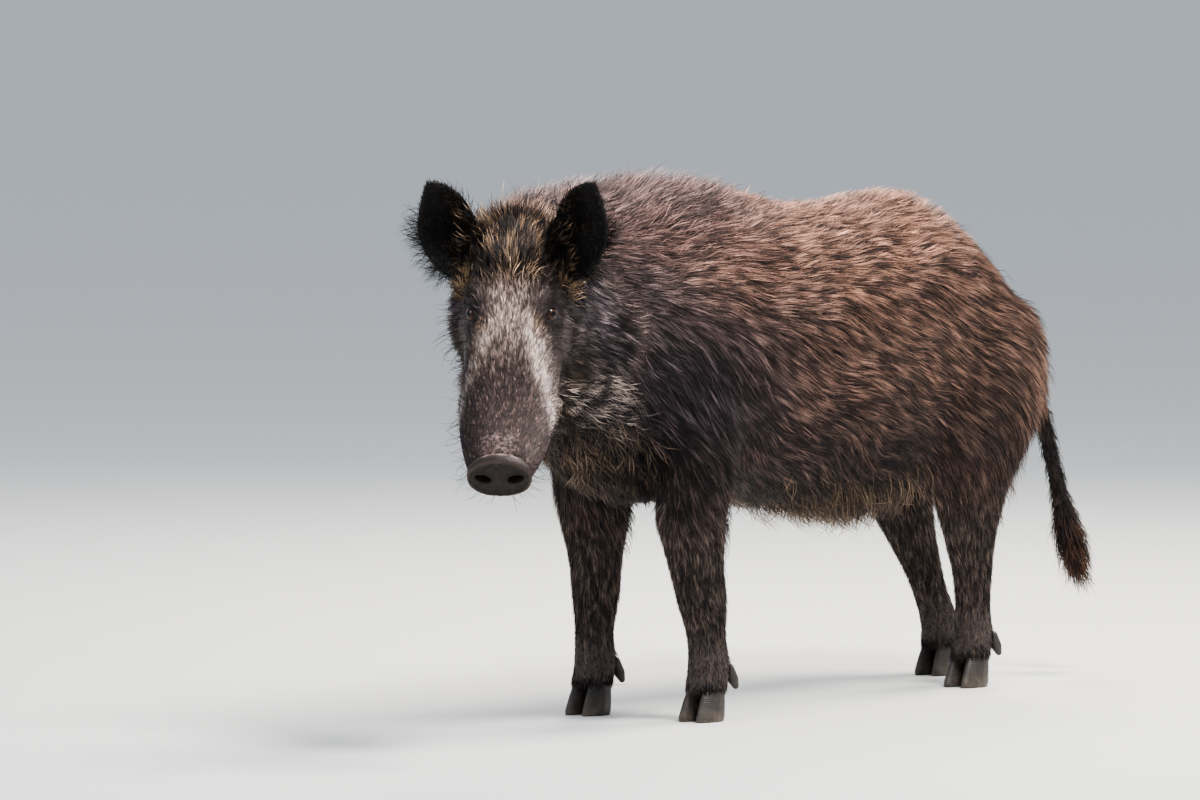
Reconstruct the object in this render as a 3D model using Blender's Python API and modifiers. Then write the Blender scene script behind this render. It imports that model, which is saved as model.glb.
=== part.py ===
"""Wild boar sow, life size: a still museum model that stands and turns its head to its left.

Metres, +Z up. The animal faces -Y and its left side is +X. Every size runs out to the tips of the coat.
The flesh is lofted limb by limb, fused and smoothed into one body, then parted into named pieces with
hairline gaps. Ears, tail, eyes, snout disc, hooves and dewclaws are solids of their own. Every cutter is
removed once it has cut.
"""

import math
from collections import namedtuple

import bmesh
import bpy
import numpy as np
from mathutils import Matrix, Vector

# ---------------------------------------------------------------- driving dimensions
GAP = 0.0003  # clearance between neighbouring pieces
VOXEL = 0.0055  # grid on which the lofts are fused
FUSE_SMOOTHING = 9  # rounds of smoothing over the fused joins
TRUNK_TRIANGLES, LEG_TRIANGLES, HEAD_TRIANGLES = 800, 700, 1150
CORONET = 0.046  # height at which flesh ends and hoof begins

HEAD_YAW = math.radians(32)  # turned to the animal's left
HEAD_PITCH = math.radians(36)  # nose down
HEAD_AT = Vector((0.090, -0.450, 0.612))  # midpoint between the eyes

EYE_RADIUS = 0.0125
EYE_SPREAD = 0.0535  # from the midline to an eyeball's centre
EYE_UP = 0.065  # eyes above the centre line of the muzzle
SNOUT_LENGTH = 0.272  # eyes to the back of the snout disc
SNOUT_TILT = math.radians(6)  # the disc looks up a little from the muzzle's line
DISC_HALF_WIDTH = 0.0460
DISC_HALF_HEIGHT = 0.0355
DISC_THICKNESS = 0.013
MOUTH_CORNER = 0.088
MOUTH_LINE = -0.026

# A section across the body: its place and heading, then its outline. roof and keel are the powers of the
# superellipse above and below the widest level: under 2 is a ridge, over 2 is boxy.
Station = namedtuple("Station", "x y yaw top wide bottom half roof keel")
TORSO = (
    Station(0.000, 0.872, 0, 0.525, 0.495, 0.465, 0.030, 2.0, 2.0),
    Station(0.000, 0.846, 0, 0.565, 0.505, 0.435, 0.080, 2.0, 2.0),
    Station(0.000, 0.796, 0, 0.622, 0.510, 0.405, 0.112, 2.0, 2.0),
    Station(0.000, 0.715, 0, 0.690, 0.520, 0.385, 0.135, 2.0, 2.1),
    Station(0.000, 0.610, 0, 0.744, 0.530, 0.310, 0.150, 2.0, 2.2),
    Station(0.000, 0.490, 0, 0.744, 0.525, 0.267, 0.160, 1.95, 2.2),
    Station(0.000, 0.380, 0, 0.737, 0.520, 0.277, 0.167, 1.95, 2.2),
    Station(0.000, 0.260, 0, 0.750, 0.515, 0.291, 0.165, 1.85, 2.2),
    Station(0.000, 0.140, 0, 0.778, 0.515, 0.306, 0.158, 1.75, 2.2),
    Station(0.000, 0.030, 0, 0.800, 0.520, 0.308, 0.151, 1.7, 2.1),
    Station(0.000, -0.070, 0, 0.804, 0.535, 0.315, 0.142, 1.7, 2.0),
    Station(0.003, -0.150, 4, 0.800, 0.555, 0.340, 0.131, 1.7, 2.0),
    Station(0.010, -0.220, 10, 0.796, 0.570, 0.380, 0.122, 1.85, 2.0),
    Station(0.020, -0.285, 18, 0.790, 0.582, 0.425, 0.115, 2.0, 2.0),
    Station(0.034, -0.345, 26, 0.789, 0.592, 0.455, 0.108, 2.1, 2.0),
    Station(0.050, -0.395, 32, 0.766, 0.605, 0.490, 0.090, 2.2, 2.0),
)

# Sections across the head, from the nape to the snout. ahead runs along the muzzle from the eyes, and the
# heights stand on the muzzle's centre line.
Slice = namedtuple("Slice", "ahead top wide bottom half roof keel")
HEAD = (
    Slice(-0.175, 0.100, 0.020, -0.060, 0.050, 2.0, 2.0),
    Slice(-0.145, 0.128, 0.020, -0.095, 0.076, 2.0, 2.0),
    Slice(-0.105, 0.136, 0.018, -0.112, 0.084, 2.1, 2.0),
    Slice(-0.060, 0.128, 0.012, -0.112, 0.077, 2.3, 2.0),
    Slice(-0.020, 0.110, 0.008, -0.103, 0.071, 2.5, 2.0),
    Slice(0.020, 0.096, 0.002, -0.094, 0.070, 2.5, 2.0),
    Slice(0.070, 0.082, -0.004, -0.082, 0.069, 2.4, 2.0),
    Slice(0.120, 0.070, -0.008, -0.072, 0.070, 2.4, 2.1),
    Slice(0.175, 0.059, -0.008, -0.063, 0.066, 2.4, 2.2),
    Slice(0.225, 0.049, -0.005, -0.054, 0.057, 2.3, 2.2),
    Slice(0.262, 0.041, 0.000, -0.043, 0.047, 2.2, 2.1),
    Slice(0.290, 0.030, 0.000, -0.024, 0.036, 2.0, 2.0),
)

# Joints of a limb from the trunk down: centre, then half width across the body and half depth along it.
Joint = namedtuple("Joint", "x y z wide deep")
FORELEG_LEFT = (
    Joint(0.092, 0.000, 0.540, 0.050, 0.105),
    Joint(0.104, -0.030, 0.450, 0.052, 0.098),
    Joint(0.108, -0.040, 0.370, 0.050, 0.080),
    Joint(0.104, -0.042, 0.300, 0.046, 0.066),
    Joint(0.101, -0.026, 0.235, 0.039, 0.050),
    Joint(0.100, -0.008, 0.172, 0.036, 0.043),
    Joint(0.100, 0.003, 0.118, 0.0275, 0.033),
    Joint(0.100, 0.008, 0.078, 0.029, 0.034),
    Joint(0.100, 0.000, 0.040, 0.028, 0.031),
    Joint(0.100, -0.004, 0.026, 0.026, 0.028),
)
FORELEG_RIGHT = (
    Joint(-0.088, 0.000, 0.540, 0.050, 0.105),
    Joint(-0.098, -0.015, 0.450, 0.052, 0.098),
    Joint(-0.101, -0.008, 0.370, 0.052, 0.085),
    Joint(-0.098, -0.005, 0.300, 0.047, 0.070),
    Joint(-0.096, -0.004, 0.235, 0.039, 0.049),
    Joint(-0.095, -0.004, 0.172, 0.035, 0.041),
    Joint(-0.095, -0.008, 0.118, 0.0275, 0.033),
    Joint(-0.095, -0.006, 0.078, 0.029, 0.034),
    Joint(-0.095, -0.014, 0.040, 0.028, 0.031),
    Joint(-0.095, -0.018, 0.026, 0.026, 0.028),
)
HINDLEG_LEFT = (
    Joint(0.070, 0.640, 0.590, 0.040, 0.090),
    Joint(0.092, 0.662, 0.500, 0.056, 0.145),
    Joint(0.100, 0.672, 0.410, 0.060, 0.158),
    Joint(0.098, 0.665, 0.340, 0.050, 0.118),
    Joint(0.094, 0.668, 0.280, 0.040, 0.078),
    Joint(0.092, 0.672, 0.222, 0.033, 0.053),
    Joint(0.088, 0.684, 0.165, 0.029, 0.037),
    Joint(0.086, 0.688, 0.115, 0.026, 0.031),
    Joint(0.085, 0.690, 0.078, 0.028, 0.033),
    Joint(0.085, 0.682, 0.040, 0.027, 0.031),
    Joint(0.085, 0.678, 0.026, 0.025, 0.028),
)
HINDLEG_RIGHT = (
    Joint(-0.070, 0.640, 0.590, 0.040, 0.090),
    Joint(-0.092, 0.662, 0.500, 0.056, 0.145),
    Joint(-0.098, 0.680, 0.410, 0.060, 0.155),
    Joint(-0.094, 0.703, 0.340, 0.048, 0.116),
    Joint(-0.088, 0.735, 0.280, 0.039, 0.078),
    Joint(-0.084, 0.762, 0.218, 0.033, 0.055),
    Joint(-0.077, 0.788, 0.160, 0.029, 0.037),
    Joint(-0.072, 0.808, 0.112, 0.026, 0.032),
    Joint(-0.069, 0.822, 0.078, 0.028, 0.033),
    Joint(-0.067, 0.820, 0.040, 0.027, 0.031),
    Joint(-0.066, 0.817, 0.026, 0.025, 0.028),
)
LIMBS = {
    "foreleg_left": FORELEG_LEFT,
    "foreleg_right": FORELEG_RIGHT,
    "hindleg_left": HINDLEG_LEFT,
    "hindleg_right": HINDLEG_RIGHT,
}
LIMB_MARGIN = 0.010  # how far a limb's cell reaches past the limb itself

# Ellipsoids on the left side, mirrored to the right: centre, radii, and a turn about the crosswise axis.
# Those of the head stand in the head's frame, as outward, ahead and up.
Mass = namedtuple("Mass", "name x y z radii lean")
BODY_MASSES = (
    Mass("shoulder", 0.079, -0.035, 0.510, (0.067, 0.112, 0.180), -16),
    Mass("haunch", 0.084, 0.695, 0.482, (0.074, 0.172, 0.135), -16),
    Mass("buttock", 0.066, 0.772, 0.460, (0.068, 0.088, 0.135), -26),
)
HEAD_MASSES = (
    Mass("cheek", 0.062, -0.070, -0.020, (0.034, 0.065, 0.070), 0),
    Mass("jowl", 0.050, -0.060, -0.085, (0.040, 0.070, 0.040), 0),
    Mass("brow", 0.043, -0.022, 0.088, (0.024, 0.036, 0.022), 0),
    Mass("lip", 0.052, 0.112, -0.016, (0.021, 0.050, 0.022), 0),
)

TAIL = (
    Joint(0.000, 0.780, 0.600, 0.020, 0.020),
    Joint(0.002, 0.835, 0.575, 0.020, 0.020),
    Joint(0.010, 0.884, 0.530, 0.018, 0.018),
    Joint(0.026, 0.908, 0.465, 0.015, 0.015),
    Joint(0.044, 0.924, 0.390, 0.013, 0.013),
    Joint(0.058, 0.934, 0.320, 0.012, 0.012),
    Joint(0.067, 0.942, 0.265, 0.013, 0.013),
    Joint(0.074, 0.951, 0.220, 0.017, 0.014),
    Joint(0.079, 0.960, 0.180, 0.011, 0.010),
    Joint(0.082, 0.965, 0.160, 0.004, 0.004),
)

# An ear in the head's frame, as outward, ahead and up: where its two edges leave the head, and its tip.
EAR_INNER_ROOT = Vector((0.052, -0.122, 0.132))
EAR_OUTER_ROOT = Vector((0.086, -0.068, 0.066))
EAR_INNER_BEND = Vector((0.072, -0.120, 0.214))
EAR_OUTER_BEND = Vector((0.166, -0.076, 0.115))
EAR_TIP = Vector((0.117, -0.100, 0.224))
EAR_CUP = 0.030  # depth of its hollow
EAR_THICKNESS = 0.008

COLOURS = {  # linear RGB, roughness
    "coat": ((0.070, 0.045, 0.030), 0.75),
    "face": ((0.120, 0.090, 0.070), 0.75),
    "leg": ((0.020, 0.015, 0.013), 0.75),
    "ear": ((0.012, 0.010, 0.010), 0.80),
    "snout": ((0.085, 0.062, 0.055), 0.50),
    "eye": ((0.030, 0.012, 0.006), 0.10),
    "hoof": ((0.025, 0.020, 0.017), 0.45),
}


# ---------------------------------------------------------------- general tools
def clear_scene():
    for obj in list(bpy.data.objects):
        bpy.data.objects.remove(obj, do_unlink=True)


def material(name):
    colour, roughness = COLOURS[name]
    made = bpy.data.materials.new(name)
    made.use_nodes = True
    shader = made.node_tree.nodes["Principled BSDF"]
    shader.inputs["Base Color"].default_value = (*colour, 1.0)
    shader.inputs["Roughness"].default_value = roughness
    return made


def new_object(name, mesh_data, collection):
    obj = bpy.data.objects.new(name, mesh_data)
    collection.objects.link(obj)
    return obj


def mesh_object(name, bm, collection):
    """An object from a bmesh, with its faces turned out."""
    bm.normal_update()
    bmesh.ops.recalc_face_normals(bm, faces=bm.faces)
    data = bpy.data.meshes.new(name)
    bm.to_mesh(data)
    bm.free()
    return new_object(name, data, collection)


def bake_modifiers(obj):
    """Replaces an object's mesh with what its modifiers make of it."""
    graph = bpy.context.evaluated_depsgraph_get()
    made = bpy.data.meshes.new_from_object(obj.evaluated_get(graph))
    obj.modifiers.clear()
    obj.data = made


def curved(rows, steps):
    """Catmull-Rom points through rows of numbers, with this many steps between each two."""
    rows = np.array(rows, float)
    ends = np.vstack([2 * rows[0] - rows[1], rows, 2 * rows[-1] - rows[-2]])
    found = []
    for i in range(len(rows) - 1):
        a, b, c, d = ends[i : i + 4]
        for t in np.arange(steps) / steps:
            square, cube = 2 * a - 5 * b + 4 * c - d, 3 * b - a - 3 * c + d
            found.append(0.5 * (2 * b + (c - a) * t + square * t**2 + cube * t**3))
    return [*found, rows[-1]]


def superellipse(angle, power):
    """Cosine and sine of an angle, pressed towards a box as power passes 2."""
    c, s = math.cos(angle), math.sin(angle)
    return (
        math.copysign(abs(c) ** (2 / power), c),
        math.copysign(abs(s) ** (2 / power), s),
    )


def section(half, top, wide, bottom, roof, keel, sides):
    """(across, up) points of an outline whose widest level is wide."""
    found = []
    for i in range(sides):
        angle = 2 * math.pi * (i + 0.5) / sides
        upper = math.sin(angle) >= 0
        across, up = superellipse(angle, roof if upper else keel)
        found.append((half * across, wide + up * ((top - wide) if upper else (wide - bottom))))
    return found


def loft(name, rings, collection):
    """A closed skin over rings of points, with flat ends. Triangles keep two sizes of one cell parallel."""
    bm = bmesh.new()
    rows = [[bm.verts.new(p) for p in ring] for ring in rings]
    count = len(rows[0])
    for low, high in zip(rows, rows[1:]):
        for i in range(count):
            j = (i + 1) % count
            bm.faces.new((low[i], low[j], high[j]))
            bm.faces.new((low[i], high[j], high[i]))
    bm.faces.new(rows[0])
    bm.faces.new(rows[-1])
    return mesh_object(name, bm, collection)


def ball(name, centre, radii, collection, segments=24, rings=14, turn=None):
    """An ellipsoid at centre, turned by a matrix."""
    bm = bmesh.new()
    bmesh.ops.create_uvsphere(bm, u_segments=segments, v_segments=rings, radius=1.0)
    turned = (turn or Matrix.Identity(3)).to_4x4()
    bm.transform(Matrix.Translation(centre) @ turned @ Matrix.Diagonal((*radii, 1.0)))
    return mesh_object(name, bm, collection)


def block(name, low, high, matrix, collection):
    """A box between two corners given in the matrix's frame."""
    bm = bmesh.new()
    bmesh.ops.create_cube(bm, size=1.0)
    size = Vector(high) - Vector(low)
    middle = (Vector(high) + Vector(low)) / 2
    bm.transform(matrix @ Matrix.Translation(middle) @ Matrix.Diagonal((*size, 1.0)))
    return mesh_object(name, bm, collection)


def keep_largest(obj):
    """Drops the specks that a cut leaves, so that an object stays one body."""
    bm = bmesh.new()
    bm.from_mesh(obj.data)
    unseen = set(bm.verts)
    groups = []
    while unseen:
        group, edge_of_group = set(), [unseen.pop()]
        while edge_of_group:
            vert = edge_of_group.pop()
            group.add(vert)
            near = {e.other_vert(vert) for e in vert.link_edges} & unseen
            unseen -= near
            edge_of_group.extend(near)
        groups.append(group)
    groups.sort(key=len)
    for group in groups[:-1]:
        bmesh.ops.delete(bm, geom=list(group), context="VERTS")
    bm.to_mesh(obj.data)
    bm.free()


def boolean(obj, other, operation):
    """Applies a Boolean with another object, which is then removed."""
    cut = obj.modifiers.new(operation.lower(), "BOOLEAN")
    cut.operation = operation
    cut.object = other
    bake_modifiers(obj)
    bpy.data.objects.remove(other, do_unlink=True)
    keep_largest(obj)


def swollen(obj, by, collection):
    """A copy of an object, grown outwards."""
    copy = new_object(obj.name + "_swollen", obj.data.copy(), collection)
    grow = copy.modifiers.new("grow", "DISPLACE")
    grow.strength = by
    grow.mid_level = 0.0
    bake_modifiers(copy)
    return copy


def part_off(body, name, make_cell, pieces):
    """Splits what lies in a cell off the body as a piece of its own, with a gap round it."""
    piece = new_object(name, body.data.copy(), pieces)
    boolean(piece, make_cell(0.0), "INTERSECT")
    boolean(body, make_cell(GAP), "DIFFERENCE")
    return piece


def shade(obj, slot, sharp_degrees=40):
    obj.data.materials.clear()
    obj.data.materials.append(MATERIALS[slot])
    obj.data.shade_smooth()
    obj.data.set_sharp_from_angle(angle=math.radians(sharp_degrees))


# ---------------------------------------------------------------- frames
def head_matrix():
    """The head's frame: outward to its left, ahead along the muzzle, up from the muzzle's centre line.
    It is left-handed, so that its sizes read the way the animal faces."""
    level = Vector((math.sin(HEAD_YAW), -math.cos(HEAD_YAW), 0))
    upright = Vector((0, 0, 1))
    left = upright.cross(level)
    ahead = level * math.cos(HEAD_PITCH) - upright * math.sin(HEAD_PITCH)
    up = level * math.sin(HEAD_PITCH) + upright * math.cos(HEAD_PITCH)
    turn = Matrix((left, ahead, up)).transposed().to_4x4()
    return Matrix.Translation(HEAD_AT - up * EYE_UP) @ turn


def snout_matrix():
    """The frame of the snout disc, whose middle is its origin and which looks along its second axis."""
    return head_matrix() @ Matrix.Translation((0, SNOUT_LENGTH, 0)) @ Matrix.Rotation(-SNOUT_TILT, 4, "X")


# ---------------------------------------------------------------- flesh
def torso(collection):
    rings = []
    for row in curved(TORSO, 5):
        s = Station(*row)
        turn = Matrix.Rotation(math.radians(s.yaw), 3, "Z")
        place = Vector((s.x, s.y, 0))
        outline = section(max(s.half, 0.01), s.top, s.wide, s.bottom, s.roof, s.keel, 40)
        rings.append([place + turn @ Vector((across, 0, up)) for across, up in outline])
    return loft("torso", rings, collection)


def skull(collection):
    frame = head_matrix()
    rings = []
    for row in curved(HEAD, 4):
        s = Slice(*row)
        outline = section(s.half, s.top, s.wide, s.bottom, s.roof, s.keel, 36)
        rings.append([frame @ Vector((across, s.ahead, up)) for across, up in outline])
    return loft("skull", rings, collection)


def limb_rings(joints, margin=0.0, steps=4, sides=20, power=2.2):
    """Level rings down a limb."""
    rings = []
    for row in curved(joints, steps):
        j = Joint(*row)
        ring = []
        for k in range(sides):
            c, s = superellipse(2 * math.pi * (k + 0.5) / sides, power)
            ring.append(Vector((j.x + c * (j.wide + margin), j.y + s * (j.deep + margin), j.z)))
        rings.append(ring)
    return rings


def limb_cell(joints, grow, collection):
    """The space of a limb from its third joint down, with a domed top."""
    top = joints[2]
    dome = [
        top._replace(z=top.z + rise + grow, wide=top.wide * share, deep=top.deep * share)
        for rise, share in ((0.046, 0.30), (0.038, 0.62), (0.024, 0.86))
    ]
    foot = joints[-1]._replace(z=-0.03)
    rings = limb_rings((*dome, *joints[2:-1], foot), LIMB_MARGIN + grow, steps=1, sides=12)
    return loft("cell", rings, collection)


def tail_form(collection):
    """Round rings square to the tail's own line."""
    rows = [Joint(*row) for row in curved(TAIL, 2)]
    rings = []
    for i, row in enumerate(rows):
        before, after = rows[max(i - 1, 0)], rows[min(i + 1, len(rows) - 1)]
        down = Vector(after[:3]) - Vector(before[:3])
        turn = down.to_track_quat("Z", "Y").to_matrix()
        ring = []
        for k in range(10):
            a = 2 * math.pi * k / 10
            ring.append(Vector(row[:3]) + turn @ Vector((row.wide * math.cos(a), row.deep * math.sin(a), 0)))
        rings.append(ring)
    return loft("tail", rings, collection)


def muscles(collection):
    """Masses that stand out from the lofts, on both sides."""
    frame = head_matrix()
    found = []
    for side in (1, -1):
        for m in BODY_MASSES:
            turn = Matrix.Rotation(math.radians(m.lean), 3, "X")
            found.append(ball(m.name, Vector((side * m.x, m.y, m.z)), m.radii, collection, turn=turn))
        for m in HEAD_MASSES:
            centre_of_mass = frame @ Vector((side * m.x, m.y, m.z))
            found.append(ball(m.name, centre_of_mass, m.radii, collection, turn=frame.to_3x3()))
    return found


def fused(forms, collection):
    """One closed, smoothed skin round overlapping forms."""
    bm = bmesh.new()
    for form in forms:
        bm.from_mesh(form.data)
        bpy.data.objects.remove(form, do_unlink=True)
    body = mesh_object("body", bm, collection)
    remesh = body.modifiers.new("fuse", "REMESH")
    remesh.mode = "VOXEL"
    remesh.voxel_size = VOXEL
    smooth = body.modifiers.new("smooth", "SMOOTH")
    smooth.factor = 0.6
    smooth.iterations = FUSE_SMOOTHING
    bake_modifiers(body)
    return body


def thin_out(body, chosen, triangles):
    """Thins one region of a skin to about this many triangles. chosen says whether a point lies in it."""
    inside = [chosen(vert.co) for vert in body.data.vertices]
    body.data.calc_loop_triangles()
    count = len(body.data.loop_triangles)
    within = sum(all(inside[v] for v in face.vertices) for face in body.data.loop_triangles)
    group = body.vertex_groups.new(name="region")
    group.add([i for i, held in enumerate(inside) if held], 1.0, "REPLACE")
    decimate = body.modifiers.new("thin", "DECIMATE")
    decimate.ratio = (count - within + triangles) / count
    decimate.vertex_group = "region"
    bake_modifiers(body)
    body.vertex_groups.clear()


def body_form(collection):
    forms = [torso(collection), skull(collection), *muscles(collection)]
    forms += [loft(name, limb_rings(joints), collection) for name, joints in LIMBS.items()]
    body = fused(forms, collection)
    keep_largest(body)
    to_head = head_matrix().inverted()

    def on_head(point):
        at = to_head @ point
        return at.y > -0.12 and abs(at.x) < 0.13 and at.z > -0.16

    def on_leg(point):
        return point.z < 0.27 and not on_head(point)

    thin_out(body, on_head, HEAD_TRIANGLES)
    thin_out(body, on_leg, LEG_TRIANGLES)
    thin_out(body, lambda point: not on_leg(point) and not on_head(point), TRUNK_TRIANGLES)
    # Feet end flat at the coronet and the muzzle ends flat behind the snout disc.
    below = block("below", (-1, -1, -1), (1, 1, CORONET), Matrix.Identity(4), collection)
    boolean(body, below, "DIFFERENCE")
    before = block("before", (-0.1, 0.0, -0.1), (0.1, 0.1, 0.1), snout_matrix(), collection)
    boolean(body, before, "DIFFERENCE")
    return body


# ---------------------------------------------------------------- attached pieces
def ear(name, side, collection):
    """A cupped leaf between two curved edges, closed by a thickness."""
    frame = head_matrix()
    rows, columns = 8, 7
    deeper = 0.22  # share of its length that the root is buried by

    def bend(root, control, t):
        return root * (1 - t) ** 2 + control * 2 * t * (1 - t) + EAR_TIP * t**2

    bm = bmesh.new()
    grid = []
    for i in range(rows):
        t = -deeper + (1 + deeper) * i / (rows - 1)
        inner, outer = bend(EAR_INNER_ROOT, EAR_INNER_BEND, t), bend(EAR_OUTER_ROOT, EAR_OUTER_BEND, t)
        if i == rows - 1:
            inner, outer = EAR_TIP + Vector((-0.004, 0, 0)), EAR_TIP + Vector((0.004, 0, 0))
        behind = (outer - inner).cross(EAR_TIP - (EAR_INNER_ROOT + EAR_OUTER_ROOT) / 2).normalized()
        if behind.y > 0:
            behind = -behind
        row = []
        for j in range(columns):
            across = -1 + 2 * j / (columns - 1)
            depth = EAR_CUP * (1 - across**2) * min(1.0, 1.35 * (1 - t)) * 0.8
            at = inner.lerp(outer, (across + 1) / 2) + behind * depth
            row.append(bm.verts.new(frame @ Vector((side * at.x, at.y, at.z))))
        grid.append(row)
    for low, high in zip(grid, grid[1:]):
        for j in range(columns - 1):
            bm.faces.new((low[j], low[j + 1], high[j + 1], high[j]))
    obj = mesh_object(name, bm, collection)
    thicken = obj.modifiers.new("thickness", "SOLIDIFY")
    thicken.thickness = EAR_THICKNESS
    thicken.offset = 0.0
    bake_modifiers(obj)
    round_off = obj.modifiers.new("round", "SMOOTH")
    round_off.factor = 0.4
    round_off.iterations = 1
    bake_modifiers(obj)
    return obj


def eyeball(name, side, collection):
    centre = head_matrix() @ Vector((side * EYE_SPREAD, 0.0, EYE_UP))
    return ball(name, centre, (EYE_RADIUS,) * 3, collection, segments=12, rings=8)


def nostril(side, collection):
    """A slanting, narrowing hole into the disc."""
    rings = []
    for depth, wide, high in ((-0.004, 0.0060, 0.0045), (0.012, 0.0105, 0.0078), (0.020, 0.0120, 0.0090)):
        ring = []
        for k in range(10):
            a = 2 * math.pi * k / 10
            x = side * 0.0205 + wide * math.cos(a)
            z = 0.000 + high * math.sin(a) + side * 0.18 * wide * math.cos(a)
            ring.append(snout_matrix() @ Vector((x, depth, z)))
        rings.append(ring)
    return loft("nostril", rings, collection)


def snout_disc(collection):
    """The gristly plate of the nose, with a raised rim, broad below and drawn up in the middle above."""
    frame = snout_matrix()
    rings = []
    profile = (
        (GAP, 0.955),
        (0.004, 1.0),
        (0.009, 1.0),
        (DISC_THICKNESS, 0.94),
        (DISC_THICKNESS - 0.0015, 0.82),
    )
    for depth, share in profile:
        ring = []
        for k in range(20):
            c, s = superellipse(2 * math.pi * k / 20, 2.25)
            peak = 1 + 0.10 * max(0.0, s) * (1 - abs(c))
            across, up = DISC_HALF_WIDTH * share * c, DISC_HALF_HEIGHT * share * s * peak
            ring.append(frame @ Vector((across, depth, up)))
        rings.append(ring)
    disc = loft("snout_disc", rings, collection)
    for side in (1, -1):
        boolean(disc, nostril(side, collection), "DIFFERENCE")
    return disc


def hoof(name, foot, side, collection):
    """One of a foot's two main hooves: a wedge that is flat below, with its toe ahead."""
    rings = []
    levels = (
        (0.000, 0.0300, 0.0150, -0.012),
        (0.006, 0.0310, 0.0155, -0.011),
        (0.028, 0.0275, 0.0145, -0.005),
        (CORONET - GAP, 0.0235, 0.0130, 0.000),
    )
    for z, length, width, ahead in levels:
        ring = []
        for k in range(12):
            a = 2 * math.pi * k / 12
            taper = 1 - 0.42 * max(0.0, -math.sin(a)) ** 1.5
            x = foot.x + side * (width + GAP) + width * math.cos(a) * taper
            ring.append(Vector((x, foot.y + ahead + length * math.sin(a), z)))
        rings.append(ring)
    return loft(name, rings, collection)


def dewclaw(name, foot, fetlock, side, collection):
    """A small side hoof, low behind the fetlock."""
    top = Vector((fetlock.x + side * 0.015, fetlock.y + 0.026, 0.078))
    tip = Vector((foot.x + side * 0.019, fetlock.y + 0.042, 0.044))
    rings = []
    for t, radius in ((0.0, 0.0085), (0.6, 0.0090), (1.0, 0.0040)):
        centre = top.lerp(tip, t)
        ring = []
        for k in range(8):
            a = 2 * math.pi * k / 8
            across, back = radius * math.cos(a), radius * math.sin(a)
            ring.append(centre + Vector((across, 0.9 * back, 0.4 * back)))
        rings.append(ring)
    return loft(name, rings, collection)


def attach(piece, body, collection):
    """Trims an attached piece to the body's surface, less a gap."""
    boolean(piece, swollen(body, GAP, collection), "DIFFERENCE")
    return piece


# ---------------------------------------------------------------- assembly
clear_scene()
PIECES = bpy.data.collections.new("wild_boar")
CUTTERS = bpy.data.collections.new("cutters")
for made_collection in (PIECES, CUTTERS):
    bpy.context.scene.collection.children.link(made_collection)
CUTTERS.hide_render = True
MATERIALS = {slot: material(slot) for slot in COLOURS}


def build():
    body = body_form(PIECES)
    slots = {}

    for side, word in ((1, "left"), (-1, "right")):
        slots[attach(ear(f"ear_{word}", side, PIECES), body, CUTTERS)] = "ear"
        eye = eyeball(f"eye_{word}", side, PIECES)
        boolean(body, swollen(eye, GAP, CUTTERS), "DIFFERENCE")
        slots[eye] = "eye"
    slots[snout_disc(PIECES)] = "snout"

    for name, joints in LIMBS.items():
        foot, fetlock = joints[-2], joints[-3]
        for side, word in ((1, "a"), (-1, "b")):
            slots[hoof(f"hoof_{name}_{word}", foot, side, PIECES)] = "hoof"
            claw = dewclaw(f"dewclaw_{name}_{word}", foot, fetlock, side, PIECES)
            slots[attach(claw, body, CUTTERS)] = "hoof"

    slots[attach(tail_form(PIECES), body, CUTTERS)] = "leg"

    for name, joints in LIMBS.items():
        leg = part_off(body, name, lambda grow: limb_cell(joints, grow, CUTTERS), PIECES)
        slots[leg] = "leg"

    frame = head_matrix()

    def head_cell(grow):
        return block("cell", (-0.3, -0.128 - grow, -0.175 - grow), (0.3, 0.5, 0.4), frame, CUTTERS)

    def jaw_cell(grow):
        low = (-0.2, MOUTH_CORNER - grow, -0.3)
        return block("cell", low, (0.2, 0.5, MOUTH_LINE + grow), frame, CUTTERS)

    def neck_cell(grow):
        turn = Matrix.Translation((0, -0.175, 0)) @ Matrix.Rotation(math.radians(8), 4, "Z")
        return block("cell", (-0.5, -0.6, 0.0), (0.5, grow, 1.2), turn, CUTTERS)

    head = part_off(body, "head", head_cell, PIECES)
    slots[part_off(head, "lower_jaw", jaw_cell, PIECES)] = "face"
    slots[head] = "face"
    slots[part_off(body, "neck", neck_cell, PIECES)] = "coat"
    body.name = "trunk"
    slots[body] = "coat"

    for obj, slot in slots.items():
        shade(obj, slot)
    return list(slots)


def centre(objects):
    """Moves the model so that its box stands on the origin, centred."""
    corners = np.array([v.co for obj in objects for v in obj.data.vertices])
    low, high = corners.min(axis=0), corners.max(axis=0)
    shift = Vector((-(low[0] + high[0]) / 2, -(low[1] + high[1]) / 2, -low[2]))
    for obj in objects:
        obj.data.transform(Matrix.Translation(shift))


centre(build())
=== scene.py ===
"""Looks of a life-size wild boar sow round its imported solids: one skin with lids, mouth and snout disc, and a
coat of solid tufts that reaches out to where the solids end. Metres, +Z up; the animal faces -Y."""

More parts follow.
